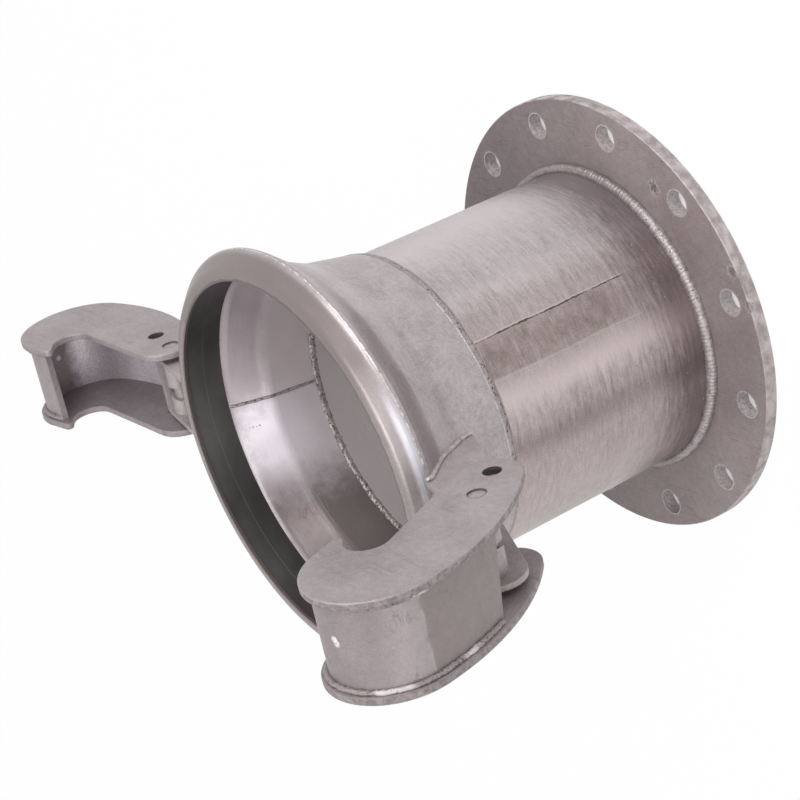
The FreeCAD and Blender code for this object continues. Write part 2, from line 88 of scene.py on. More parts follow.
class NodeBuilder:
    """Short ways to add nodes to a tree."""

    def __init__(self, tree: bpy.types.NodeTree) -> None:
        """Keep the tree.

        Args:
            tree: Shader or geometry node tree.
        """
        self.tree = tree

    def node(self, kind: str, settings: dict[str, Any], sockets: dict[str | int, Any]) -> bpy.types.Node:
        """Add a node.

        Args:
            kind: Blender's type name of the node.
            settings: Properties that are set first.
            sockets: Values or links of its inputs, by name or place.

        Returns:
            The new node.
        """
        made = self.tree.nodes.new(kind)
        for name, value in settings.items():
            setattr(made, name, value)
        for key, value in sockets.items():
            source = value.socket if isinstance(value, Number) else value
            if isinstance(source, bpy.types.NodeSocket):
                self.tree.links.new(source, made.inputs[key])
            else:
                made.inputs[key].default_value = source
        return made

    def number(
        self, kind: str, settings: dict[str, Any], sockets: dict[str | int, Any], output: str | int = 0
    ) -> "Number":
        """Add a node and wrap one of its outputs.

        Args:
            kind: Blender's type name of the node.
            settings: Properties that are set first.
            sockets: Values or links of its inputs.
            output: Name or place of the output.

        Returns:
            The output as a number for expressions.
        """
        return Number(self, self.node(kind, settings, sockets).outputs[output])

    def vector(self, x: Any, y: Any, z: Any) -> bpy.types.NodeSocket:
        """Vector from three numbers.

        Args:
            x: First part.
            y: Second part.
            z: Third part.

        Returns:
            The vector's socket.
        """
        return self.node("ShaderNodeCombineXYZ", {}, {0: x, 1: y, 2: z}).outputs[0]

    def noise(self, place: Any, scale: float, detail: float = 4.0, rough: float = 0.55) -> "Number":
        """Smooth noise between 0 and 1.

        Args:
            place: Where the noise is read.
            scale: Cells to a metre of that place.
            detail: Octaves.
            rough: Share of the finer octaves.

        Returns:
            The noise.
        """
        sockets = {"Vector": place, "Scale": scale, "Detail": detail, "Roughness": rough}
        return self.number("ShaderNodeTexNoise", {}, sockets)


class Number:
    """A socket that takes part in plain expressions."""

    def __init__(self, builder: NodeBuilder, socket: bpy.types.NodeSocket) -> None:
        """Wrap a socket.

        Args:
            builder: Adds the nodes of an expression.
            socket: Source of the value.
        """
        self.builder = builder
        self.socket = socket

    def maths(self, operation: str, *values: Any) -> "Number":
        """Add a Math node.

        Args:
            operation: Its operation.
            values: Its inputs in order.

        Returns:
            Its result.
        """
        return self.builder.number("ShaderNodeMath", {"operation": operation}, dict(enumerate(values)))

    def __add__(self, other: Any) -> "Number":
        """Sum."""
        return self.maths("ADD", self, other)

    def __radd__(self, other: Any) -> "Number":
        """Sum from the right."""
        return self.maths("ADD", other, self)

    def __sub__(self, other: Any) -> "Number":
        """Difference."""
        return self.maths("SUBTRACT", self, other)

    def __rsub__(self, other: Any) -> "Number":
        """Difference from the right."""
        return self.maths("SUBTRACT", other, self)

    def __mul__(self, other: Any) -> "Number":
        """Product."""
        return self.maths("MULTIPLY", self, other)

    def __truediv__(self, other: Any) -> "Number":
        """Quotient."""
        return self.maths("DIVIDE", self, other)

    def swing(self, reach: float) -> "Number":
        """Noise moved to swing about zero, so that a half gives 0."""
        return (self - 0.5) * reach

    def absolute(self) -> "Number":
        """Size without sign."""
        return self.maths("ABSOLUTE", self)

    def sine(self) -> "Number":
        """Sine of the number in radians."""
        return self.maths("SINE", self)

    def cosine(self) -> "Number":
        """Cosine of the number in radians."""
        return self.maths("COSINE", self)

    def root(self) -> "Number":
        """Square root."""
        return self.maths("SQRT", self)

    def wrap(self, low: float, high: float) -> "Number":
        """The number folded into a range that repeats.

        Args:
            low: Start of the range.
            high: End of the range.

        Returns:
            The folded number.
        """
        return self.maths("WRAP", self, high, low)

    def step(self, start: float, end: float) -> "Number":
        """Smooth rise from 0 at the start to 1 at the end; it falls where the end is the lower one.

        Args:
            start: Value that gives 0.
            end: Value that gives 1.

        Returns:
            The mask.
        """
        low, high = min(start, end), max(start, end)
        settings = {"interpolation_type": "SMOOTHSTEP"}
        rise = self.builder.number("ShaderNodeMapRange", settings, {0: self, 1: low, 2: high, 3: 0.0, 4: 1.0})
        return rise if start < end else 1 - rise

    def band(self, low: float, high: float, soft: float) -> "Number":
        """Mask that is 1 between two values.

        Args:
            low: Lower value.
            high: Upper value.
            soft: Width of each smooth edge.

        Returns:
            The mask.
        """
        return self.step(low - soft, low + soft) * self.step(high + soft, high - soft)


@dataclass
class Surface:
    """What a finish feeds to the shader."""

    colour: Any
    roughness: Any
    height: Number | None = None
    bump: float = 0.0004
    metallic: float = 0.0


class Shading(NodeBuilder):
    """Node tree of one material with its place sockets."""

    def __init__(self, name: str) -> None:
        """Start a material.

        Args:
            name: Name of the material.
        """
        self.material = bpy.data.materials.new(name)
        self.material.use_nodes = True
        super().__init__(self.material.node_tree)
        self.tree.nodes.clear()
        self.place = self.node("ShaderNodeTexCoord", {}, {}).outputs["Object"]
        split = self.node("ShaderNodeSeparateXYZ", {}, {0: self.place})
        self.x, self.y, self.z = (Number(self, split.outputs[i]) for i in range(3))

    def mix(self, factor: Any, under: Any, over: Any, blend: str = "MIX") -> bpy.types.NodeSocket:
        """Mix two colours.

        Args:
            factor: Share of the second colour.
            under: First colour.
            over: Second colour.
            blend: Blend mode.

        Returns:
            The mixed colour.
        """
        tints = [(*tint, 1.0) if isinstance(tint, tuple) else tint for tint in (under, over)]
        settings = {"data_type": "RGBA", "blend_type": blend}
        return self.node("ShaderNodeMix", settings, {0: factor, 6: tints[0], 7: tints[1]}).outputs[2]

    def strokes(self, around: float, along: float, detail: float = 4.0) -> Number:
        """Noise drawn out round the pipe axis, without a seam.

        Args:
            around: Cells to a metre round the axis.
            along: Cells to a metre along the axis.
            detail: Octaves.

        Returns:
            The noise.
        """
        return self.noise(self.vector(self.x * around, self.y * around, self.z * along), 1.0, detail, 0.62)

    def tint(self, factor: Any, colour: Any, shade: Colour) -> bpy.types.NodeSocket:
        """Darken or colour a surface and keep its texture.

        Args:
            factor: Share of the tint.
            colour: Colour under it.
            shade: Colour that multiplies it.

        Returns:
            The tinted colour.
        """
        return self.mix(factor, colour, shade, "MULTIPLY")

    def length(self, run: Number, rise: Number) -> Number:
        """Length of a step with two square parts."""
        return (run * run + rise * rise).root()

    def radius(self) -> Number:
        """Distance from the pipe axis."""
        return self.length(self.x, self.y)

    def angle(self) -> Number:
        """Angle about the pipe axis in radians."""
        return self.x.maths("ARCTAN2", self.y, self.x)

    def off_line(self, place_x: float, place_z: float) -> Number:
        """Distance from a line along Y.

        Args:
            place_x: Where the line crosses y = 0, in X.
            place_z: Where it crosses, in Z.

        Returns:
            The distance.
        """
        return self.length(self.x - place_x, self.z - place_z)

    def away(self, centre: Point) -> Number:
        """Distance from a point.

        Args:
            centre: The point.

        Returns:
            The distance.
        """
        settings = {"operation": "DISTANCE"}
        return self.number("ShaderNodeVectorMath", settings, {0: self.place, 1: centre}, "Value")

    def finish(self, surface: Surface) -> bpy.types.Material:
        """Join a surface to the shader.

        Args:
            surface: Colour, roughness and relief.

        Returns:
            The material.
        """
        sockets = {"Base Color": surface.colour, "Roughness": surface.roughness, "Metallic": surface.metallic}
        if surface.height is not None:
            relief = {"Height": surface.height, "Strength": 1.0, "Distance": surface.bump}
            sockets["Normal"] = self.node("ShaderNodeBump", {}, relief).outputs[0]
        shader = self.node("ShaderNodeBsdfPrincipled", {}, sockets)
        self.node("ShaderNodeOutputMaterial", {}, {0: shader.outputs[0]})
        return self.material


@dataclass(frozen=True)
class Galvanised:
    """Hot-dip zinc on plate: cloudy grey with fine grain, dirt and scratches."""

    name: str
    pale: Colour = (0.45, 0.400, 0.410)
    dull: Colour = (0.285, 0.245, 0.252)
    dirt: Colour = (0.16, 0.135, 0.125)
    scratch: Colour = (0.2, 0.175, 0.17)
    roughness: float = 0.5
    metallic: float = 0.45
    cloud_scale: float = 22.0
    grain_scale: float = 900.0
    scratch_turn: float = 0.6
    scratch_scale: Point = (8.0, 90.0, 260.0)
    scratch_share: float = 0.35
    bump: float = 0.00025

    def scratches(self, shade: Shading) -> Number:
        """Fine straight scratches.

        Args:
            shade: Material in the making.

        Returns:
            A mask of thin lines.
        """
        turn = (0.3, self.scratch_turn, 0.0)
        sockets = {"Vector": shade.place, "Rotation": turn, "Scale": self.scratch_scale}
        line = shade.noise(shade.node("ShaderNodeMapping", {}, sockets).outputs[0], 1.0, 3.0, 0.5)
        rare = shade.noise(shade.place, 35.0, 2.0)
        return (line - 0.5).absolute().step(0.02, 0.0) * rare.step(0.5, 0.62)

    def ground(self, shade: Shading) -> Surface:
        """Clouds, grain and scratches that all plates share.

        Args:
            shade: Material in the making.

        Returns:
            The surface.
        """
        cloud = shade.noise(shade.place, self.cloud_scale, 5.0, 0.6)
        patch = shade.noise(shade.place, self.cloud_scale * 9.0, 4.0, 0.65)
        grain = shade.noise(shade.place, self.grain_scale, 2.0, 0.5)
        lines = self.scratches(shade)
        tone = cloud.step(0.3, 0.7) * 0.45 + patch.swing(1.1) + grain.swing(1.3) + 0.25
        colour = shade.mix(tone, self.dull, self.pale)
        dirt = shade.noise(shade.place, 160.0, 3.0, 0.65).step(0.66, 0.8)
        colour = shade.mix(dirt * 0.45, colour, self.dirt)
        colour = shade.mix(lines * self.scratch_share, colour, self.scratch)
        rough = self.roughness + cloud.swing(0.25) + lines * 0.1
        height = cloud * 1.2 + grain * 0.5 - lines * 0.6
        return Surface(colour, rough, height, self.bump, self.metallic)

    def surface(self, shade: Shading) -> Surface:
        """The whole surface.

        Args:
            shade: Material in the making.

        Returns:
            The surface.
        """
        return self.ground(shade)

    def build(self) -> bpy.types.Material:
        """Make the material."""
        shade = Shading(self.name)
        return shade.finish(self.surface(shade))


@dataclass(frozen=True)
class FlangePlate(Galvanised):
    """Darker plate with painted shade towards -X, bright hole walls, a pale rim and a few gouges."""

    name: str = "flange_zinc"
    pale: Colour = (0.41, 0.345, 0.348)
    dull: Colour = (0.265, 0.218, 0.219)
    painted_flange_shade: Colour = (0.66, 0.65, 0.66)
    wall_zinc: Colour = (0.66, 0.61, 0.615)
    rim_zinc: Colour = (0.56, 0.50, 0.505)
    gouge_dirt: Colour = (0.17, 0.135, 0.13)
    gouge_lip: Colour = (0.6, 0.56, 0.56)
    roughness: float = 0.55
    metallic: float = 0.35
    outer_radius: float = 0.1975
    circle_radius: float = 0.175
    hole_radius: float = 0.011
    hole_count: int = 12
    gouges: tuple[Point, ...] = (
        (0.0989, 0.1315, 0.012),
        (0.0972, 0.1345, 0.012),
        (0.1924, 0.0461, 0.012),
        (0.1775, 0.0735, 0.012),
    )
    speck_scale: float = 420.0
    far_fade: Fade = (0.13, -0.17)
    gouge_wobble: float = 0.011
    gouge_fade: Fade = (0.0046, 0.0022)
    gouge_rim: Span = (0.0046, 0.0058)
    gouge_depth: float = 3.0

    def surface(self, shade: Shading) -> Surface:
        """Plate with its holes, rim and gouges.

        Args:
            shade: Material in the making.

        Returns:
            The surface.
        """
        ground = self.ground(shade)
        radius, pitch = shade.radius(), 2 * math.pi / self.hole_count
        nearest = shade.angle().wrap(0.0, pitch) - pitch / 2
        to_hole = shade.length(radius * nearest.cosine() - self.circle_radius, radius * nearest.sine())
        speck = shade.noise(shade.place, self.speck_scale, 3.0, 0.6)
        wall = to_hole.step(self.hole_radius + 0.0018, self.hole_radius + 0.0002)
        wall = wall * (speck.step(0.35, 0.6) * 0.6 + 0.4)
        # Painted shade: the plate darkens towards -X.
        colour = shade.tint(shade.x.step(*self.far_fade), ground.colour, self.painted_flange_shade)
        colour = shade.mix(wall * 0.85, colour, self.wall_zinc)
        rim = radius.step(self.outer_radius - 0.0012, self.outer_radius - 0.0004)
        colour = shade.mix(rim * shade.strokes(90.0, 110.0).step(0.3, 0.7), colour, self.rim_zinc)
        height = ground.height + wall * speck * 1.5
        for gouge in self.gouges:
            mark = shade.away(gouge) + speck.swing(self.gouge_wobble)
            cut = mark.step(*self.gouge_fade)
            colour = shade.mix(cut * 0.45, colour, self.gouge_dirt)
            colour = shade.mix(mark.band(*self.gouge_rim, 0.0006) * 0.5, colour, self.gouge_lip)
            height = height - cut * self.gouge_depth
        return Surface(colour, ground.roughness, height, self.bump, self.metallic)


@dataclass(frozen=True)
class PipeSheet(Galvanised):
    """Rolled pipe: fine marks round it, painted highlight and shade bands, a warm painted tint below, a
    closed seam with a dull strip, heat marks and painted shade by the flange, and painted light in its bore.
    """

    name: str = "pipe_zinc"
    pale: Colour = (0.57, 0.512, 0.525)
    dull: Colour = (0.32, 0.278, 0.282)
    warm: Colour = (1.0, 0.955, 0.925)
    painted_highlight: Colour = (0.68, 0.62, 0.63)
    painted_band_shade: Colour = (0.66, 0.63, 0.63)
    painted_fill_light: Colour = (0.74, 0.70, 0.70)
    strip_tint: Colour = (0.72, 0.685, 0.64)
    heat_and_shade_tint: Colour = (0.56, 0.525, 0.54)
    seam_lip: Colour = (0.62, 0.56, 0.54)
    seam_dirt: Colour = (0.07, 0.055, 0.05)
    strip_line: Colour = (0.58, 0.53, 0.50)
    roughness: float = 0.4
    metallic: float = 0.75
    radius: float = 0.1335
    seam_angle: float = math.radians(36.5)
    strip_angle: float = math.radians(22.0)
    seam_start: float = 0.066
    seam_end: float = 0.224
    # Painted highlight and shade bands round the pipe: middle and width in degrees, and share. A share under
    # 0 paints shade.
    light_bands: tuple[tuple[float, float, float], ...] = (
        (-3.0, 6.0, -0.85),
        (14.0, 6.0, 0.6),
        (29.0, 6.0, -0.3),
        (86.0, 18.0, 0.6),
        (52.0, 4.0, 0.15),
        (42.0, 4.0, -0.2),
        (-32.0, 14.0, 0.15),
    )
    warm_fade: Fade = (math.radians(60), math.radians(35))
    strip_fade: Fade = (0.066, 0.10)
    blotch_scale: float = 85.0
    seam_breaks: float = 0.0034
    seam_fade: Fade = (0.0006, 0.0001)
    lip_span: Span = (0.0006, 0.0018)
    line_fade: Fade = (0.0016, 0.0002)
    heat_and_shade_fade: Fade = (0.078, 0.030)

    def surface(self, shade: Shading) -> Surface:
        """Sheet with its streaks, seam and heat marks.

        Args:
            shade: Material in the making.

        Returns:
            The surface.
        """
        turn = shade.angle()
        wander = shade.noise(shade.place, 14.0, 3.0, 0.5)
        streak = shade.strokes(24.0, 300.0, 5.0)
        brush = shade.strokes(110.0, 260.0)
        cloud = shade.noise(shade.place, 11.0, 4.0, 0.6)
        fine = shade.strokes(70.0, 950.0, 3.0)
        speck = shade.noise(shade.place, 900.0, 2.0, 0.6)
        tone = 0.5 + cloud.swing(0.7) + streak.swing(0.6) + brush.swing(0.6)
        tone = tone + fine.swing(0.7) + speck.swing(0.8)
        colour = shade.mix(tone.step(0.0, 1.0), self.dull, self.pale)
        bent = turn + wander.swing(0.12) + streak.swing(0.16) + brush.swing(0.08)
        # Painted highlights and painted shade in bands round the pipe.
        for middle, width, gain in self.light_bands:
            swell = (bent - math.radians(middle)).absolute().step(math.radians(width * 1.5), 0.0) * abs(gain)
            colour = shade.mix(swell, colour, self.painted_highlight) if gain > 0 else shade.tint(swell, colour, self.painted_band_shade)
        # Painted reflection: a warmer tint on the pipe's lower side.
        warm_reflection_side = turn.step(*self.warm_fade)
        colour = shade.mix(warm_reflection_side, colour, shade.tint(1.0, colour, self.warm))
        along = shade.z.band(self.seam_start, self.seam_end, 0.006)
        strip = (turn + wander.swing(0.05)).band(self.strip_angle, self.seam_angle, 0.02) * along
        blotch = shade.noise(shade.place, self.blotch_scale, 4.0, 0.7)
        strip = strip * shade.z.step(*self.strip_fade) * (0.35 + blotch.step(0.3, 0.7) * 0.65)
        colour = shade.tint(strip, colour, self.strip_tint)
        jog = wander.swing(0.004) + brush.swing(0.002)
        past_seam = (turn - self.seam_angle) * self.radius + jog
        breaks = shade.noise(shade.vector(shade.z * 75.0, 1.3, 0.0), 1.0, 4.0, 0.7)
        seam = (past_seam.absolute() - breaks.swing(self.seam_breaks)).step(*self.seam_fade) * along
        lip = past_seam.band(*self.lip_span, 0.0005) * along
        faint = ((turn - self.strip_angle) * self.radius + jog).absolute().step(*self.line_fade) * along
        colour = shade.mix(lip * 0.55, colour, self.seam_lip)
        colour = shade.mix(seam * 0.85, colour, self.seam_dirt)
        colour = shade.mix(faint * 0.3, colour, self.strip_line)
        # Darker band by the flange: partly heat marks, partly painted shade standing in for the flange's
        # reflection.
        rough_edge = shade.z + wander.swing(0.03) + streak.swing(0.05) + brush.swing(0.02)
        heat_and_shade = rough_edge.step(*self.heat_and_shade_fade)
        colour = shade.tint(heat_and_shade * 0.95, colour, self.heat_and_shade_tint)
        # Painted light: the bore is lighter.
        painted_bore_light = shade.radius().step(self.radius - 0.001, self.radius - 0.002)
        colour = shade.mix(painted_bore_light * (0.75 + speck * 0.4), colour, self.painted_fill_light)
        rough = self.roughness + streak.swing(0.16) + heat_and_shade * 0.12 + strip * 0.14
        height = streak * 0.9 + brush * 0.5 + lip * 0.8 - seam * 2.5 - faint * 0.8
        return Surface(colour, rough, height, self.bump, self.metallic)


@dataclass(frozen=True)
class BellSheet(Galvanised):
    """Pressed sheet: mottled cone, satin rim with press marks, painted highlights and painted shade on the
    rim, painted light and shade inside, with a weld line.
    """

    name: str = "bell_zinc"
    pale: Colour = (0.54, 0.482, 0.494)
    dull: Colour = (0.325, 0.281, 0.285)
    scratch_share: float = 0.0
    painted_fill_light: Colour = (0.76, 0.70, 0.74)
    cone_spots: Colour = (0.32, 0.292, 0.268)
    painted_ridge_highlight: Colour = (0.64, 0.59, 0.605)
    painted_flank_shade: Colour = (0.80, 0.77, 0.775)
    turned_line: Colour = (0.6, 0.55, 0.56)
    painted_front_shade: Colour = (0.222, 0.186, 0.18)
    glint: Colour = (0.72, 0.70, 0.77)
    lip_dirt: Colour = (0.12, 0.09, 0.082)
    crease_zinc: Colour = (0.82, 0.78, 0.785)
    painted_low_bore_light: Colour = (0.96, 0.91, 0.94)
    painted_high_bore_shade: Colour = (0.62, 0.585, 0.60)
    patch: Colour = (0.93, 0.87, 0.94)
    painted_foot_shade: Colour = (0.26, 0.235, 0.225)
    painted_upper_shade: Colour = (0.98, 0.96, 0.945)
    roughness: float = 0.38
    metallic: float = 0.62
    cloud_scale: float = 30.0
    crown_height: float = 0.3275
    neck: Place = (0.1375, 0.2245)
    neck_slope: float = 0.194
    valley: Place = (0.14652, 0.2709)
    valley_slope: float = 0.4625
    lip_radius: float = 0.1602
    glint_angle: float = math.radians(17.0)
    painted_highlight_spot: Point = (-0.141, -0.034, 0.280)
    cone_fade: Fade = (0.305, 0.290)
    ridge_span: Span = (0.282, 0.2955)
    flank_span: Span = (0.303, 0.317)
    front_fade: Fade = (0.328, 0.3335)
    warm_start: Fade = (math.radians(26), math.radians(48))
    warm_end: Fade = (math.radians(170), math.radians(120))
    glint_fade: Fade = (math.radians(19), math.radians(5))
    glint_span: Span = (0.3285, 0.3345)
    glint_rim: Fade = (0.174, 0.176)
    lip_fade: Fade = (0.3385, 0.3405)
    crease_fade: Fade = (0.0011, 0.0002)
    crease_rim: Fade = (0.177, 0.1795)
    bore_top: Fade = (0.306, 0.301)
    low_fade: Fade = (0.277, 0.268)
    high_fade: Fade = (0.272, 0.281)
    patch_fade: Fade = (0.05, 0.012)
    foot_shade_fade: Fade = (-0.05, -0.10)
    upper_shade_fade: Fade = (-0.001, 0.004)

    def surface(self, shade: Shading) -> Surface:
        """Sheet with its press marks.

        Args:
            shade: Material in the making.

        Returns:
            The surface.
        """
        ground = self.ground(shade)
        turn, radius = shade.angle(), shade.radius()
        ring = shade.strokes(30.0, 480.0)
        wander = shade.noise(shade.place, 11.0, 3.0, 0.5)
        mottle = shade.noise(shade.place, 75.0, 5.0, 0.7)
        cone = shade.z.step(*self.cone_fade)
        colour = shade.mix(cone * mottle.step(0.5, 0.7) * 0.4, ground.colour, self.cone_spots)
        level = shade.z + wander.swing(0.008)
        # Painted highlight: a pale patchy band below the valley.
        painted_ridge_highlight = level.band(*self.ridge_span, 0.005) * wander.step(0.3, 0.6)
        colour = shade.mix(painted_ridge_highlight * 0.4, colour, self.painted_ridge_highlight)
        # Painted shade: a darker band on the rim's rear flank.
        colour = shade.tint(level.band(*self.flank_span, 0.004), colour, self.painted_flank_shade)
        colour = shade.mix((ring - 0.5).step(0.0, 0.25) * 0.25, colour, self.turned_line)
        colour = self.painted_bore_light(shade, colour, mottle)
        # Painted shade on the rim's front, deeper and browner over a range of angles.
        front = shade.z.step(*self.front_fade)
        warm = turn.step(*self.warm_start) * turn.step(*self.warm_end)
        colour = shade.mix(front * (0.56 + warm * 0.34 + wander.swing(0.3)), colour, self.painted_front_shade)
        # Painted highlight: a glint on the rim.
        glint = (turn - self.glint_angle).absolute().step(*self.glint_fade)
        glint = glint * shade.z.band(*self.glint_span, 0.0015) * radius.step(*self.glint_rim)
        colour = shade.mix(glint * 0.75, colour, self.glint)
        lip = (radius + mottle.swing(0.0045)).step(self.lip_radius + 0.0012, self.lip_radius)
        colour = shade.mix(lip * shade.z.step(*self.lip_fade) * 0.75, colour, self.lip_dirt)
        crease = (shade.z - self.crown_height + wander.swing(0.002)).absolute().step(*self.crease_fade)
        crease = crease * radius.step(*self.crease_rim)
        fleck = shade.noise(shade.place, 190.0, 3.0, 0.7)
        colour = shade.mix(crease * fleck.step(0.42, 0.6) * 0.9, colour, self.crease_zinc)
        rough = ground.roughness + ring.swing(0.12)
        height = ground.height * 0.25 + ring * 0.4 + crease * 1.2
        return Surface(colour, rough, height, self.bump, self.metallic)

    def painted_bore_light(self, shade: Shading, colour: Any, mottle: Number) -> Any:
        """Paint light and shade on the inner skin: lighter deep in, darker towards the mouth, with a painted
        highlight patch and painted shade on its -Y and +Y sides.

        Args:
            shade: Material in the making.
            colour: Colour so far.
            mottle: Noise that breaks the edges.

        Returns:
            The colour with the inner skin.
        """
        lower = self.neck[0] + (shade.z - self.neck[1]) * self.neck_slope
        upper = self.valley[0] + (shade.z - self.valley[1]) * self.valley_slope
        inside = (lower.maths("MAXIMUM", lower, upper) - shade.radius()).step(0.0008, 0.0018)
        inside = inside * shade.z.step(*self.bore_top)
        # Painted light over the whole inner skin.
        colour = shade.mix(inside * (0.55 + mottle * 0.4), colour, self.painted_fill_light)
        # Painted light deep in, painted shade towards the mouth.
        colour = shade.mix(inside * shade.z.step(*self.low_fade) * 0.45, colour, self.painted_low_bore_light)
        colour = shade.tint(inside * shade.z.step(*self.high_fade) * 0.7, colour, self.painted_high_bore_shade)
        # Painted highlight patch.
        patch = (shade.away(self.painted_highlight_spot) + mottle.swing(0.05)).step(*self.patch_fade)
        colour = shade.mix(inside * patch * 0.8, colour, self.patch)
        # Painted shade on the -Y side.
        foot = (shade.y + mottle.swing(0.03)).step(*self.foot_shade_fade)
        colour = shade.tint(inside * foot, colour, self.painted_foot_shade)
        # Painted shade on the +Y side.
        upper_shade = (shade.y + mottle.swing(0.004)).step(*self.upper_shade_fade)
        return shade.tint(inside * upper_shade, colour, self.painted_upper_shade)


@dataclass(frozen=True)
class WeldZinc(Galvanised):
    """Zinc over weld beads: paler, rougher, with dark pinholes, and painted shade past a set angle round the
    pipe.
    """

    name: str = "weld_zinc"
    pale: Colour = (0.60, 0.545, 0.555)
    dull: Colour = (0.33, 0.285, 0.288)
    pit: Colour = (0.1, 0.08, 0.075)
    spot: Colour = (0.8, 0.75, 0.765)
    painted_bead_shade: Colour = (0.27, 0.225, 0.225)
    roughness: float = 0.42
    metallic: float = 0.6
    cloud_scale: float = 120.0
    grain_scale: float = 1500.0
    bump: float = 0.0004
    pit_level: float = 0.64
    shaded_from: float = 9.0
    spots: tuple[Point, ...] = ()
    pit_scale: float = 420.0
    spot_fade: Fade = (0.011, 0.004)

    def surface(self, shade: Shading) -> Surface:
        """Bead with pinholes.

        Args:
            shade: Material in the making.

        Returns:
            The surface.
        """
        ground = self.ground(shade)
        pit = shade.noise(shade.place, self.pit_scale, 3.0, 0.6).step(self.pit_level, self.pit_level + 0.08)
        colour = shade.mix(pit * 0.8, ground.colour, self.pit)
        speck = shade.noise(shade.place, 300.0, 3.0, 0.6)
        for spot in self.spots:
            near = (shade.away(spot) + speck.swing(0.012)).step(*self.spot_fade)
            colour = shade.mix(near * 0.6, colour, self.spot)
        # Painted shade: the bead darkens past an angle round the pipe.
        faint = shade.angle().absolute().step(self.shaded_from - 0.35, self.shaded_from + 0.1)
        colour = shade.mix(faint * 0.7, colour, self.painted_bead_shade)
        return Surface(colour, ground.roughness, ground.height - pit * 2.0, self.bump, self.metallic)


@dataclass(frozen=True)
class LeverWeb(Galvanised):
    """Bent web of a lever: browner behind its crease with a painted sheen beside it, painted light in its
    hollow, painted shade towards its nose, and zinc drips.
    """

    name: str = "lever_web_zinc"
    pale: Colour = (0.38, 0.334, 0.34)
    dull: Colour = (0.285, 0.243, 0.248)
    brown: Colour = (0.235, 0.195, 0.187)
    sheen: Colour = (0.55, 0.49, 0.51)
    crease_line: Colour = (0.5, 0.45, 0.45)
    painted_hollow_light: Colour = (0.98, 0.90, 0.97)
    painted_tip_shade: Colour = (0.70, 0.66, 0.67)
    drip_zinc: Colour = (0.8, 0.76, 0.77)
    scratch_turn: float = 1.2
    crease: float = 0.438
    browner: float = 0.55
    hollow_light_share: float = 0.0
    hollow_top: float = 0.322
    nose_centre: Place = (-0.3888, 0.3263)
    nose_radius: float = 0.0422
    back_centre: Place = (-0.32975, 0.49605)
    nose_end: float = -0.405
    back_radius: float = 0.2220
    soft: float = 0.0010
    drips: tuple[Point, ...] = ((0.2785, 0.0057, 0.4866), (0.2800, 0.0030, 0.4863))
    behind_fade: Fade = (0.0030, -0.0040)
    sheen_rise: Fade = (-0.002, 0.0015)
    sheen_fall: Fade = (0.022, 0.0)
    line_fade: Fade = (0.0009, 0.0001)
    tip_fade: Fade = (0.018, 0.045)
    drip_fade: Fade = (0.0036, 0.0018)

    def surface(self, shade: Shading) -> Surface:
        """Web with its crease, hollow side and drips.

        Args:
            shade: Material in the making.

        Returns:
            The surface.
        """
        ground = self.ground(shade)
        wander = shade.noise(shade.place, 90.0, 3.0, 0.6)
        past = shade.z - self.crease + wander.swing(0.006)
        behind = past.step(*self.behind_fade) * self.browner
        colour = shade.mix(behind * (0.55 + wander * 0.9), ground.colour, self.brown)
        # Painted sheen beside the crease.
        sheen = past.step(*self.sheen_rise) * past.step(*self.sheen_fall) * wander
        colour = shade.mix(sheen * self.browner * 0.9, colour, self.sheen)
        line = past.absolute().step(*self.line_fade) * wander.step(0.4, 0.6)
        colour = shade.mix(line * self.browner * 0.6, colour, self.crease_line)
        grit = shade.noise(shade.place, 600.0, 3.0, 0.75).step(0.36, 0.64)
        # Painted light in the hollow.
        hollow_light = self.inner(shade, wander) * (0.4 + wander * 0.5 + grit * 0.4)
        colour = shade.mix(hollow_light, colour, self.painted_hollow_light)
        # Painted shade towards the nose.
        colour = shade.tint(past.step(*self.tip_fade) * self.browner * 0.7, colour, self.painted_tip_shade)
        height = ground.height + line * self.browner
        for drip in self.drips:
            blob = (shade.away(drip) + wander.swing(0.002)).step(*self.drip_fade)
            colour = shade.mix(blob * 0.85, colour, self.drip_zinc)
            height = height + blob * 3.0
        return Surface(colour, ground.roughness, height, self.bump, self.metallic)

    def inner(self, shade: Shading, wander: Number) -> Number:
        """Hollow side of the web, where light is painted, inside its nose arc and its back arc.

        Args:
            shade: Material in the making.
            wander: Noise that breaks the edge.

        Returns:
            The mask.
        """
        low = (shade.z + wander.swing(0.02)).step(self.hollow_top + 0.008, self.hollow_top - 0.006)
        nose = shade.off_line(*self.nose_centre).step(self.nose_radius + self.soft, self.nose_radius)
        nose = nose + shade.x.step(self.nose_end, self.nose_end + 0.002)
        back = shade.off_line(*self.back_centre).step(self.back_radius + self.soft, self.back_radius)
        return low * self.hollow_light_share * nose.maths("MINIMUM", nose, 1.0) * back


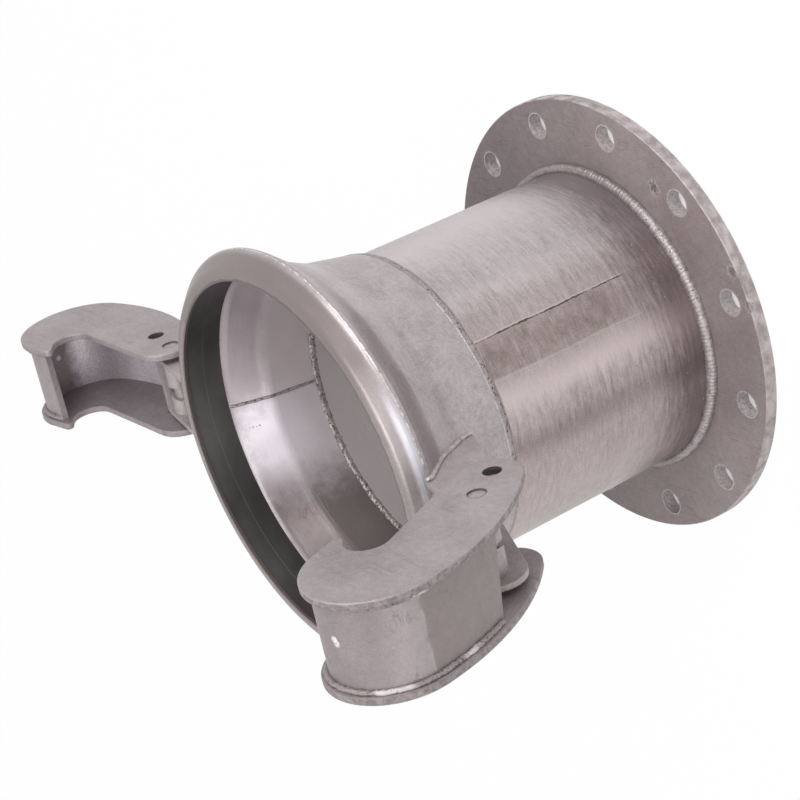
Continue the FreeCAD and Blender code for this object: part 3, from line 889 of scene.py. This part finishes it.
@dataclass(frozen=True)
class LeverPlate(Galvanised):
    """Profiled lever plate: smooth faces, rough edge below its face line, painted shade on its inner face, in
    its open hole and round its pin.
    """

    name: str = "lever_plate_zinc"
    edge_dirt: Colour = (0.13, 0.10, 0.095)
    edge_zinc: Colour = (0.36, 0.31, 0.31)
    inner_zinc: Colour = (0.2, 0.165, 0.185)
    painted_hole_shade: Colour = (0.06, 0.048, 0.046)
    hole: Place = (0.2302, 0.3047)
    hole_radius: float = 0.007
    pin: Place = (0.249, 0.333)
    inner_face: float = 0.034
    outer_face: float = 0.040
    edge_wear: float = 0.6
    inner_shade: float = 0.25

    def surface(self, shade: Shading) -> Surface:
        """Plate with its edge and hole.

        Args:
            shade: Material in the making.

        Returns:
            The surface.
        """
        ground = self.ground(shade)
        across = shade.y.absolute()
        rough = shade.noise(shade.place, 170.0, 5.0, 0.75)
        level = across + rough.swing(0.003)
        edge = level.step(self.outer_face - 0.0006, self.outer_face - 0.0018)
        edge = edge * across.step(self.inner_face + 0.0001, self.inner_face + 0.0005)
        worn = shade.mix(rough.step(0.38, 0.62), self.edge_dirt, self.edge_zinc)
        colour = shade.mix(edge * self.edge_wear, ground.colour, worn)
        # Painted shade on the inner face, between the plates.
        inner = across.step(self.inner_face + 0.0003, self.inner_face)
        colour = shade.mix(inner * (rough - 0.2) * self.inner_shade, colour, self.inner_zinc)
        # Painted shade in the open hole and round the pin.
        for place, share in ((self.hole, 0.9), (self.pin, 0.75)):
            hole = shade.off_line(*place).step(self.hole_radius + 0.0010, self.hole_radius + 0.0003)
            colour = shade.mix(hole * share, colour, self.painted_hole_shade)
        height = ground.height + edge * rough * 2.5
        return Surface(colour, ground.roughness + edge * 0.15, height, self.bump, self.metallic)


@dataclass(frozen=True)
class PinSteel(Galvanised):
    """Pin and bush zinc with a dark joint and a painted highlight round each pin end."""

    name: str = "pin_zinc"
    pale: Colour = (0.50, 0.45, 0.455)
    dull: Colour = (0.33, 0.285, 0.288)
    joint: Colour = (0.07, 0.055, 0.052)
    shine: Colour = (0.72, 0.67, 0.68)
    cloud_scale: float = 140.0
    reach: float = 0.249
    heights: Place = (0.3032, 0.3330)
    radius: float = 0.007
    face: float = 0.0390

    def surface(self, shade: Shading) -> Surface:
        """Zinc with the dark joint.

        Args:
            shade: Material in the making.

        Returns:
            The surface.
        """
        ground = self.ground(shade)
        low, high = self.heights
        rise = shade.z - (shade.x.step(-0.01, 0.01) * (high - low) + low)
        run = shade.x.absolute() - self.reach
        away = shade.length(run, rise)
        face = shade.y.absolute().step(self.face - 0.0005, self.face + 0.0005)
        joint = away.band(self.radius - 0.0010, self.radius + 0.0002, 0.0003) * face
        colour = shade.mix(joint * 0.85, ground.colour, self.joint)
        # Painted highlight on each pin end.
        shine = (away - 0.0022).step(0.0016, 0.0004) * face
        colour = shade.mix(shine * 0.5, colour, self.shine)
        return Surface(colour, ground.roughness, ground.height - joint * 2.0, self.bump, self.metallic)


@dataclass(frozen=True)
class SealRubber:
    """Black rubber with a dull bloom, a painted highlight band and faint moulding lines."""

    name: str = "seal_rubber"
    dark: Colour = (0.031, 0.0285, 0.0275)
    bloom_and_highlight: Colour = (0.112, 0.106, 0.104)
    roughness: float = 0.46
    line_height: float = 0.3235
    lit_span: Span = (-0.045, 0.055)
    lit_soft: float = 0.03
    line_fade: Fade = (0.0007, 0.0001)

    def build(self) -> bpy.types.Material:
        """Make the material.

        Returns:
            The material.
        """
        shade = Shading(self.name)
        cloud = shade.strokes(18.0, 30.0)
        grain = shade.noise(shade.place, 1400.0, 2.0, 0.5)
        # Painted highlight: a lighter band across the middle.
        painted_highlight = shade.y.band(*self.lit_span, self.lit_soft)
        line = (shade.z - self.line_height).absolute().step(*self.line_fade)
        colour = shade.mix(cloud.step(0.3, 0.8) * 0.35 + painted_highlight * 0.6 + line * 0.25, self.dark, self.bloom_and_highlight)
        rough = self.roughness + cloud.swing(0.2)
        return shade.finish(Surface(colour, rough, grain * 0.6 + line * 1.0 + cloud * 0.5, 0.00012))


@dataclass(frozen=True)
class BeadStyle:
    """Sizes of a weld bead."""

    width: float
    height: float
    pitch: float = 0.0028
    ripple: float = 0.12
    lumps: float = 0.0006
    lump_scale: float = 160.0


class GrowthTree:
    """Geometry Nodes tree that grows zinc on a base mesh, with named inputs."""

    def __init__(self, name: str, inputs: dict[str, str]) -> None:
        """Make the tree, which ends in plain geometry with its material.

        Args:
            name: Name of the tree.
            inputs: Kind of socket of each input. The first one takes the base mesh.
        """
        self.group = bpy.data.node_groups.new(name, "GeometryNodeTree")
        face = self.group.interface
        for label, kind in {**inputs, "Zinc": "Material"}.items():
            face.new_socket(label, in_out="INPUT", socket_type="NodeSocket" + kind)
        face.new_socket("Growth", in_out="OUTPUT", socket_type="NodeSocketGeometry")
        self.identifiers = {item.name: item.identifier for item in face.items_tree if item.in_out == "INPUT"}
        build = NodeBuilder(self.group)
        given = build.node("NodeGroupInput", {}, {}).outputs
        grown = self.wire(build, given)
        real = build.node("GeometryNodeRealizeInstances", {}, {"Geometry": grown}).outputs[0]
        coated = build.node("GeometryNodeSetMaterial", {}, {"Geometry": real, "Material": given["Zinc"]})
        build.node("NodeGroupOutput", {}, {0: coated.outputs[0]})

    def wire(self, build: NodeBuilder, given: Any) -> bpy.types.NodeSocket:
        """Add the nodes that grow the geometry, which each tree has for itself.

        Args:
            build: The tree in the making.
            given: Its input sockets by name.

        Returns:
            The geometry.
        """
        raise NotImplementedError

    def grow(self, name: str, base: bpy.types.Mesh, values: dict[str, Any]) -> bpy.types.Object:
        """Run the tree on a mesh and keep the result as a plain object.

        Args:
            name: Name of the object.
            base: Mesh that the tree starts from.
            values: Values of the inputs by name.

        Returns:
            The object, at the origin and without modifiers.
        """
        seed = bpy.data.objects.new(name + "_base", base)
        bpy.context.scene.collection.objects.link(seed)
        modifier = seed.modifiers.new("tree", "NODES")
        modifier.node_group = self.group
        for key, value in values.items():
            modifier[self.identifiers[key]] = value
        seed.update_tag()
        ready = seed.evaluated_get(bpy.context.evaluated_depsgraph_get())
        mesh = bpy.data.meshes.new_from_object(ready)
        mesh.name = name
        bpy.data.objects.remove(seed)
        bpy.data.meshes.remove(base)
        made = bpy.data.objects.new(name, mesh)
        bpy.context.scene.collection.objects.link(made)
        return made


class BeadTree(GrowthTree):
    """Tree that lays a rippled weld bead along the edges of a path mesh."""

    SIZES = ("Width", "Height", "Pitch", "Ripple", "Lumps", "Lump Scale")

    def __init__(self) -> None:
        """Build the tree once for all beads."""
        super().__init__("weld_bead", {"Path": "Geometry", **dict.fromkeys(self.SIZES, "Float")})

    def wire(self, build: NodeBuilder, given: Any) -> bpy.types.NodeSocket:
        """Sweep an oval along the paths, with ripples and lumps.

        Args:
            build: The tree in the making.
            given: Its input sockets by name.

        Returns:
            The beads.
        """
        size = {name: Number(build, given[name]) for name in self.SIZES}
        curve = build.node("GeometryNodeMeshToCurve", {}, {0: given["Path"]}).outputs[0]
        spacing = {"Curve": curve, "Length": size["Pitch"] * 0.2}
        spaced = build.node("GeometryNodeResampleCurve", {"mode": "LENGTH"}, spacing).outputs[0]
        upright = build.node("GeometryNodeSetCurveNormal", {"mode": "Z_UP"}, {"Curve": spaced}).outputs[0]
        run = Number(build, build.node("GeometryNodeSplineParameter", {}, {}).outputs["Length"])
        place = build.node("GeometryNodeInputPosition", {}, {}).outputs[0]
        drift = build.noise(place, 70.0, 2.0)
        wave = (run / size["Pitch"] * math.pi + drift * 4.0).sine().absolute()
        swell = 1 + (wave - 0.6) * size["Ripple"] + drift.swing(0.35)
        circle = {"Resolution": 12, "Radius": 0.5}
        ring = build.node("GeometryNodeCurvePrimitiveCircle", {}, circle).outputs[0]
        across = build.vector(size["Height"], size["Width"], 1.0)
        oval = build.node("GeometryNodeTransform", {}, {"Geometry": ring, "Scale": across}).outputs[0]
        sweep = {"Curve": upright, "Profile Curve": oval, "Scale": swell, "Fill Caps": True}
        swept = build.node("GeometryNodeCurveToMesh", {}, sweep).outputs[0]
        scaled = self.scaled(build, place, size["Lump Scale"])
        lump = (build.noise(scaled, 1.0, 3.0, 0.6) - 0.5) * size["Lumps"] * 2.0
        push = self.scaled(build, build.node("GeometryNodeInputNormal", {}, {}).outputs[0], lump)
        moved = build.node("GeometryNodeSetPosition", {}, {"Geometry": swept, "Offset": push}).outputs[0]
        return build.node("GeometryNodeSetShadeSmooth", {}, {"Geometry": moved}).outputs[0]

    def scaled(self, build: NodeBuilder, vector: Any, scale: Number) -> bpy.types.NodeSocket:
        """Vector times a number.

        Args:
            build: The tree in the making.
            vector: The vector.
            scale: The number.

        Returns:
            The product.
        """
        settings = {"operation": "SCALE"}
        return build.node("ShaderNodeVectorMath", settings, {0: vector, "Scale": scale}).outputs[0]

    def lay(
        self,
        name: str,
        paths: Sequence[Path],
        style: BeadStyle,
        zinc: bpy.types.Material,
        body: Body,
        *nodes: str,
    ) -> None:
        """Lay beads along paths as one piece and tie it to its body.

        Args:
            name: Name of the piece.
            paths: Its paths.
            style: Sizes of the bead.
            zinc: Its material.
            body: Body that carries it.
            nodes: CAD nodes that it replaces.
        """
        values = dict(zip(self.SIZES, astuple(style)))
        settle(self.grow(name, path_mesh(name, paths), {**values, "Zinc": zinc}), body, *nodes)


class SpatterTree(GrowthTree):
    """Tree that scatters small zinc beads over a band of surface."""

    def __init__(self) -> None:
        """Build the tree."""
        inputs = {"Band": "Geometry", "Density": "Float", "Size": "Float", "Seed": "Int"}
        super().__init__("zinc_spatter", inputs)

    def wire(self, build: NodeBuilder, given: Any) -> bpy.types.NodeSocket:
        """Put balls of random sizes on random points.

        Args:
            build: The tree in the making.
            given: Its input sockets by name.

        Returns:
            The balls.
        """
        cast = {"Mesh": given["Band"], "Density": given["Density"], "Seed": given["Seed"]}
        points = build.node("GeometryNodeDistributePointsOnFaces", {}, cast).outputs[0]
        ball = {"Radius": given["Size"], "Subdivisions": 2}
        drop = build.node("GeometryNodeMeshIcoSphere", {}, ball).outputs[0]
        spread = {2: 0.35, 3: 1.0, "Seed": given["Seed"]}
        sizes = build.node("FunctionNodeRandomValue", {"data_type": "FLOAT"}, spread).outputs[1]
        placing = {"Points": points, "Instance": drop, "Scale": sizes}
        return build.node("GeometryNodeInstanceOnPoints", {}, placing).outputs[0]


def path_mesh(name: str, paths: Sequence[Path]) -> bpy.types.Mesh:
    """Mesh of bare edges along paths.

    Args:
        name: Name of the mesh.
        paths: The paths.

    Returns:
        The mesh.
    """
    points: list[Point] = []
    edges: list[tuple[int, int]] = []
    for run, closed in paths:
        first = len(points)
        points.extend(run)
        edges.extend((i, i + 1) for i in range(first, len(points) - 1))
        if closed:
            edges.append((len(points) - 1, first))
    mesh = bpy.data.meshes.new(name)
    mesh.from_pydata(points, edges, [])
    return mesh


def ring_path(radius: float, height: float, count: int) -> Path:
    """Closed circle about the pipe axis.

    Args:
        radius: Its radius.
        height: Its height.
        count: Its points.

    Returns:
        The circle.
    """
    turns = [2 * math.pi * i / count for i in range(count)]
    return [(radius * math.cos(t), radius * math.sin(t), height) for t in turns], True


def settle(piece: bpy.types.Object, body: Body, *nodes: str) -> None:
    """Tie a weld piece to its body and hide the nodes that it stands for.

    Args:
        piece: The piece.
        body: Body that carries it.
        nodes: CAD nodes that it replaces.
    """
    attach(piece, body.value)
    if nodes:
        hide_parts(*nodes)
    LOG.info("%s: %d faces on %s", piece.name, len(piece.data.polygons), body.value)


def dress(node: str, material: bpy.types.Material) -> None:
    """Give a CAD node its finish.

    Args:
        node: Name of the node.
        material: Its material.
    """
    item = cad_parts[node]
    if not item.material_slots:
        item.data.materials.append(material)
    for slot in item.material_slots:
        slot.material = material
    LOG.info("%s: %s", node, material.name)


@dataclass
class PipeAndFlange:
    """Pipe stub with its flange, their welds and the spatter beside them."""

    beads: BeadTree
    zinc: bpy.types.Material
    pipe_radius: float = 0.1335
    bore_radius: float = 0.1305
    flange_thickness: float = 0.012
    pipe_setback: float = 0.005
    fillet: BeadStyle = BeadStyle(0.0098, 0.0098, 0.0034, 0.13, 0.0013, 230.0)
    root: BeadStyle = BeadStyle(0.0044, 0.0044, 0.0026, 0.08, 0.0003)
    spatter_band: Span = (0.018, 0.07)
    spatter_sides: int = 96
    spatter_density: float = 2600.0
    spatter_size: float = 0.0006
    spatter_seed: int = 4

    def build(self) -> None:
        """Dress the plates and lay the beads."""
        dress("flange_plate", FlangePlate().build())
        dress("pipe_stub", PipeSheet().build())
        corner = ring_path(self.pipe_radius + 0.0020, self.flange_thickness + 0.0020, 360)
        lay = self.beads.lay
        lay("flange_fillet_bead", [corner], self.fillet, self.zinc, Body.SOCKET, "flange_weld_outer")
        foot = ring_path(self.bore_radius + 0.0016, self.pipe_setback - 0.0012, 300)
        lay("flange_inner_bead", [foot], self.root, self.zinc, Body.SOCKET, "flange_weld_inner")
        self.scatter()

    def scatter(self) -> None:
        """Scatter zinc specks over the pipe beside the flange."""
        count = self.spatter_sides
        low, high = (ring_path(self.pipe_radius, height, count)[0] for height in self.spatter_band)
        faces = [(i, (i + 1) % count, count + (i + 1) % count, count + i) for i in range(count)]
        band = bpy.data.meshes.new("spatter_band")
        band.from_pydata(low + high, [], faces)
        values = {
            "Density": self.spatter_density,
            "Size": self.spatter_size,
            "Seed": self.spatter_seed,
            "Zinc": self.zinc,
        }
        settle(SpatterTree().grow("pipe_spatter", band, values), Body.SOCKET)


@dataclass
class Bell:
    """Bell socket, its rubber ring and its two ring welds."""

    beads: BeadTree
    zinc: bpy.types.Material
    neck: Place = (0.1375, 0.2245)
    cone: Place = (0.14652, 0.2709)
    valley: Place = (0.15997, 0.3000)
    crown: Place = (0.18304, 0.3275)
    bend: Place = (0.16804, 0.3423)
    crown_reach: float = 0.1816
    wall: float = 0.0025
    root_place: Place = (0.1330, 0.2285)
    seam_span: Span = (0.2315, 0.3045)
    outer: BeadStyle = BeadStyle(0.0080, 0.0052, 0.0042, 0.04, 0.0004, 160.0)
    edge: BeadStyle = BeadStyle(0.0026, 0.0022, 0.0040, 0.05, 0.0005, 130.0)
    root: BeadStyle = BeadStyle(0.0078, 0.0046, 0.0034, 0.08, 0.0018, 260.0)
    seam: BeadStyle = BeadStyle(0.0036, 0.0028, 0.0026, 0.12, 0.0006, 260.0)

    def skin(self, height: float) -> float:
        """Radius of the outer skin.

        Args:
            height: Height above the sealing face.

        Returns:
            The radius there.
        """
        corners = [self.neck, self.cone, self.valley, self.crown, self.bend]
        for (low_r, low_z), (high_r, high_z) in zip(corners, corners[1:]):
            if height <= high_z:
                share = (height - low_z) / (high_z - low_z)
                return min(low_r + (high_r - low_r) * share, self.crown_reach)
        return self.bend[0]

    def build(self) -> None:
        """Dress the bell and lay its beads."""
        dress("bell_socket", BellSheet().build())
        dress("seal_ring", SealRubber().build())
        groove = WeldZinc(
            "groove_zinc", pale=(0.46, 0.41, 0.412), dull=(0.26, 0.222, 0.222), pit_level=0.56
        ).build()
        neck_radius, neck_height = self.neck
        over = ring_path(neck_radius - 0.0029, neck_height - 0.0012, 360)
        self.beads.lay("neck_bead", [over], self.outer, groove, Body.SOCKET, "neck_weld_outer")
        front = ring_path(neck_radius - 0.0004, neck_height + 0.0016, 360)
        rear = ring_path(neck_radius - 0.0036, neck_height - 0.0052, 360)
        self.beads.lay("neck_edge_beads", [front, rear], self.edge, self.zinc, Body.SOCKET)
        inside = ring_path(*self.root_place, 320)
        root = WeldZinc(
            "root_zinc", pale=(0.54, 0.49, 0.49), dull=(0.26, 0.225, 0.22), pit_level=0.54
        ).build()
        self.beads.lay("neck_root_bead", [inside], self.root, root, Body.SOCKET, "neck_weld_inner")
        low, high = self.seam_span
        heights = [low + (high - low) * i / SEAM_STEPS for i in range(SEAM_STEPS + 1)]
        line = [(-(self.skin(z) - self.wall - 0.0003), 0.0, z) for z in heights]
        self.beads.lay("bell_seam_bead", [(line, False)], self.seam, root, Body.SOCKET)


@dataclass
class Lug:
    """Two tabs, their tie bar, the pin with its bushes, and the beads at the bell."""

    side: Side
    bell: Bell
    steel: bpy.types.Material
    pin_steel: bpy.types.Material
    tab_inner: float = 0.024
    tab_outer: float = 0.029
    rear_height: float = 0.2612
    front_height: float = 0.3298
    inner_bead: BeadStyle = BeadStyle(0.0056, 0.0056, 0.0030, 0.14, 0.0006, 190.0)
    outer_bead: BeadStyle = BeadStyle(0.0046, 0.0040, 0.0030, 0.10, 0.0010, 230.0)

    def seat(self, across: float) -> list[Point]:
        """Line where one face of a tab meets the bell.

        Args:
            across: Place of the face along Y.

        Returns:
            Points from the rear to the front.
        """
        points = []
        for i in range(SEAT_STEPS + 1):
            height = self.rear_height + (self.front_height - self.rear_height) * i / SEAT_STEPS
            reach = math.sqrt(self.bell.skin(height) ** 2 - across ** 2) + 0.0006
            points.append((self.side.value * reach, across, height))
        return points

    def build(self) -> None:
        """Dress the lug and lay its beads."""
        word = self.side.word
        for part in ("lug_tab_a", "lug_tab_b", "lug_tie_bar"):
            dress(f"{word}_{part}", self.steel)
        for part in ("pivot_pin", "pin_bush_a", "pin_bush_b"):
            dress(f"{word}_{part}", self.pin_steel)
        inner = [(self.seat(sign * (self.tab_inner - 0.0008)), False) for sign in (1, -1)]
        outer = [(self.seat(sign * (self.tab_outer + 0.0010)), False) for sign in (1, -1)]
        beads, zinc = self.bell.beads, self.bell.zinc
        beads.lay(f"{word}_lug_inner_beads", inner, self.inner_bead, zinc, Body.SOCKET, f"{word}_lug_welds")
        beads.lay(f"{word}_lug_outer_beads", outer, self.outer_bead, zinc, Body.SOCKET)


@dataclass
class HookLever:
    """Hook lever: two plates, the bent web and the beads between them."""

    side: Side
    beads: BeadTree
    zinc: bpy.types.Material
    plate_steel: bpy.types.Material
    web_steel: bpy.types.Material
    pin: Place = (0.249, 0.333)
    hole: float = 0.034
    angle: float = math.radians(56.5)
    end_centre: Place = (0.0061, 0.0015)
    end_radius: float = 0.0267
    nose_centre: Place = (0.1358, 0.0404)
    nose_radius: float = 0.0529
    shoulder_radius: float = 0.0671
    shoulder_angle: float = math.radians(-55.4)
    back_radius: float = 0.2328
    top_angle: float = math.radians(14.5)
    top_length: float = 0.0229
    top_setback: float = 0.006
    web_end: float = 0.0785
    web_end_skew: float = 0.017
    inset: float = 0.0045
    seat: float = 0.0324
    bead: BeadStyle = BeadStyle(0.0044, 0.0040, 0.0040, 0.04, 0.0016, 230.0)

    def outer_run(self) -> list[Vector]:
        """Outer edge from the back to the top, at the bead's inset.

        Returns:
            Points in the lever's own plane.
        """
        end, nose = Vector(self.end_centre), Vector(self.nose_centre)
        lean = Vector((math.cos(self.shoulder_angle), math.sin(self.shoulder_angle)))
        shoulder = nose - lean * (self.shoulder_radius - self.nose_radius)
        to_end = self.back_radius - self.end_radius
        back = self.meeting(end, to_end, shoulder, self.back_radius - self.shoulder_radius)
        points: list[Vector] = []
        top = Vector((-math.sin(self.top_angle), math.cos(self.top_angle)))
        turns = [
            (back, self.back_radius, end - back, shoulder - back),
            (shoulder, self.shoulder_radius, shoulder - back, nose - shoulder),
            (nose, self.nose_radius, nose - shoulder, top),
        ]
        for centre, radius, first, last in turns:
            start = math.atan2(first.y, first.x)
            sweep = (math.atan2(last.y, last.x) - start) % (2 * math.pi)
            for i in range(ARC_STEPS + 1):
                turn = start + sweep * i / ARC_STEPS
                points.append(centre + Vector((math.cos(turn), math.sin(turn))) * (radius - self.inset))
        along = Vector((math.cos(self.top_angle), math.sin(self.top_angle)))
        points.append(points[-1] - along * (self.top_length - self.top_setback))
        return points

    def meeting(self, first: Vector, first_radius: float, second: Vector, second_radius: float) -> Vector:
        """Crossing of two circles to the left of the way between their centres.

        Args:
            first: Centre of the first circle.
            first_radius: Its radius.
            second: Centre of the second circle.
            second_radius: Its radius.

        Returns:
            The crossing point.
        """
        apart = second - first
        along = (first_radius ** 2 - second_radius ** 2 + apart.length_squared) / (2 * apart.length)
        unit = apart.normalized()
        return first + unit * along + Vector((-unit.y, unit.x)) * math.sqrt(first_radius ** 2 - along ** 2)

    def placed(self, point: Vector, across: float) -> Point:
        """Point of the lever's plane carried to its place.

        Args:
            point: Point in the lever's own plane.
            across: Place along Y.

        Returns:
            The point in the part's frame.
        """
        turned = Matrix.Rotation(self.angle, 2) @ (point - Vector((self.hole, 0.0)))
        return (self.side.value * (self.pin[0] + turned.x), across, self.pin[1] + turned.y)

    def build(self) -> None:
        """Dress the lever and lay its beads."""
        word = self.side.word
        for part in ("plate_a", "plate_b"):
            dress(f"{word}_lever_{part}", self.plate_steel)
        dress(f"{word}_lever_web", self.web_steel)
        paths = []
        for sign in (1, -1):
            start = self.web_end - sign * self.web_end_skew / 2 + 0.001
            run = [p for p in self.outer_run() if p.y > self.nose_centre[1] or p.x > start]
            paths.append(([self.placed(p, sign * self.seat) for p in run], False))
        node = f"{word}_lever_welds"
        self.beads.lay(f"{word}_lever_beads", paths, self.bead, self.zinc, self.side.body, node)


@dataclass(frozen=True)
class Lamp:
    """Soft square lamp."""

    name: str
    place: Point
    aim: Point
    size: float
    power: float

    def build(self) -> None:
        """Hang the lamp."""
        data = bpy.data.lights.new(self.name, "AREA")
        data.shape = "SQUARE"
        data.size = self.size
        data.energy = self.power
        lamp = bpy.data.objects.new(self.name, data)
        lamp.location = self.place
        lamp.rotation_mode = "QUATERNION"
        lamp.rotation_quaternion = (Vector(self.aim) - Vector(self.place)).to_track_quat("-Z", "Y")
        bpy.context.scene.collection.objects.link(lamp)


@dataclass
class Studio:
    """Pale floor, white surroundings, lamps and camera."""

    fill: float = 0.46
    floor_half: float = 8.0
    floor_level: float = -0.0006
    floor_white: float = 0.98
    contact_white: float = 0.3
    contact_radius: float = 0.194
    camera_place: Point = (1.50729, 0.73444, 1.11402)
    camera_right: Point = (0.566156, -0.206619, -0.797983)
    camera_up: Point = (-0.208278, 0.900805, -0.381013)
    lens: float = 103.771
    lamps: tuple[Lamp, ...] = (
        Lamp("main_lamp", (0.55, 1.75, 1.05), (0.0, 0.0, 0.22), 1.1, 19.0),
        Lamp("front_lamp", (1.7, -0.45, 0.75), (0.0, 0.0, 0.2), 0.9, 5.0),
        Lamp("mouth_lamp", (0.3, 0.2, 2.0), (-0.1, 0.0, 0.25), 0.8, 11.0),
    )

    def build(self) -> None:
        """Set up everything about the object."""
        bpy.context.scene.view_settings.view_transform = "Standard"
        self.surroundings()
        self.floor()
        for lamp in self.lamps:
            lamp.build()
        self.camera()

    def white_to_eyes(self, build: NodeBuilder) -> Number:
        """1 for rays that see the background directly or in a reflection.

        Args:
            build: Tree in the making.

        Returns:
            The mask.
        """
        rays = build.node("ShaderNodeLightPath", {}, {}).outputs
        seen = Number(build, rays["Is Camera Ray"])
        for kind in ("Is Glossy Ray", "Is Transmission Ray"):
            seen = seen.maths("MAXIMUM", seen, rays[kind])
        return seen

    def surroundings(self) -> None:
        """White to the camera and to reflections, a plain fill to the rest."""
        world = bpy.data.worlds.new("studio")
        world.use_nodes = True
        bpy.context.scene.world = world
        world.node_tree.nodes.clear()
        build = NodeBuilder(world.node_tree)
        fill, white = (
            build.node("ShaderNodeBackground", {}, {"Color": WHITE, "Strength": strength}).outputs[0]
            for strength in (self.fill, 1.0)
        )
        both = build.node("ShaderNodeMixShader", {}, {0: self.white_to_eyes(build), 1: fill, 2: white})
        build.node("ShaderNodeOutputWorld", {}, {0: both.outputs[0]})

    def floor(self) -> None:
        """Pale floor under the flange, with less white glow right under the flange: a painted contact shadow
        over the real one.
        """
        half, level = self.floor_half, self.floor_level
        mesh = bpy.data.meshes.new("floor")
        corners = [(-half, -half, level), (half, -half, level), (half, half, level), (-half, half, level)]
        mesh.from_pydata(corners, [], [(0, 1, 2, 3)])
        shade = Shading("floor_white")
        matt = shade.node("ShaderNodeBsdfDiffuse", {}, {"Color": (0.95, 0.95, 0.95, 1.0)})
        glow = shade.node("ShaderNodeEmission", {}, {"Color": WHITE, "Strength": 1.0})
        # Painted contact shadow: less white glow under the flange.
        beyond = shade.radius().step(self.contact_radius - 0.002, self.contact_radius)
        white = beyond * (self.floor_white - self.contact_white) + self.contact_white
        share = self.white_to_eyes(shade) * white
        both = shade.node("ShaderNodeMixShader", {}, {0: share, 1: matt.outputs[0], 2: glow.outputs[0]})
        shade.node("ShaderNodeOutputMaterial", {}, {0: both.outputs[0]})
        mesh.materials.append(shade.material)
        floor = bpy.data.objects.new("floor", mesh)
        bpy.context.scene.collection.objects.link(floor)

    def camera(self) -> None:
        """Camera at the photograph's viewing angle."""
        data = bpy.data.cameras.new("camera")
        data.sensor_width = 36.0
        data.lens = self.lens
        data.clip_start, data.clip_end = 0.01, 60.0
        camera = bpy.data.objects.new("camera", data)
        right, up = Vector(self.camera_right).normalized(), Vector(self.camera_up).normalized()
        turn = Matrix((right, up, right.cross(up))).transposed()
        camera.matrix_world = Matrix.Translation(self.camera_place) @ turn.to_4x4()
        bpy.context.scene.collection.objects.link(camera)
        bpy.context.scene.camera = camera


def main() -> None:
    """Build the sub-assemblies in order and light them."""
    logging.basicConfig(level=logging.INFO, format="%(name)s %(message)s")
    beads = BeadTree()
    zinc = WeldZinc(shaded_from=math.radians(62)).build()
    lever_zinc = WeldZinc(
        "lever_bead_zinc",
        pale=(0.38, 0.33, 0.335),
        dull=(0.255, 0.215, 0.215),
        roughness=0.6,
        metallic=0.3,
        pit_level=0.6,
        spots=(
            (0.3162, -0.0325, 0.4034),
            (0.3167, -0.0318, 0.4635),
            (0.309, -0.0318, 0.474),
            (0.3224, 0.0317, 0.4378),
        ),
    ).build()
    PipeAndFlange(beads, zinc).build()
    bell = Bell(beads, zinc)
    bell.build()
    lug_steel = Galvanised("lug_zinc", pale=(0.52, 0.46, 0.468), dull=(0.33, 0.285, 0.288)).build()
    pin_steel = PinSteel().build()
    plate_steel = LeverPlate().build()
    left_plate = LeverPlate(
        "left_plate_zinc", hole=(-0.2827, 0.2989), pin=(-0.249, 0.3032), edge_wear=0.25, inner_shade=0.8
    ).build()
    web_steel = LeverWeb().build()
    left_web = LeverWeb(
        "left_web_zinc", crease=-1.0, browner=0.0, hollow_light_share=0.9, drips=((-0.4286, 0.0018, 0.3356),)
    ).build()
    for side in Side:
        Lug(side, bell, lug_steel, pin_steel).build()
    HookLever(Side.RIGHT, beads, lever_zinc, plate_steel, web_steel).build()
    left = {"pin": (0.249, 0.3032), "hole": 0.0, "angle": math.radians(-7.2)}
    HookLever(Side.LEFT, beads, lever_zinc, left_plate, left_web, **left).build()
    Studio().build()


if __name__ == "__main__":
    main()
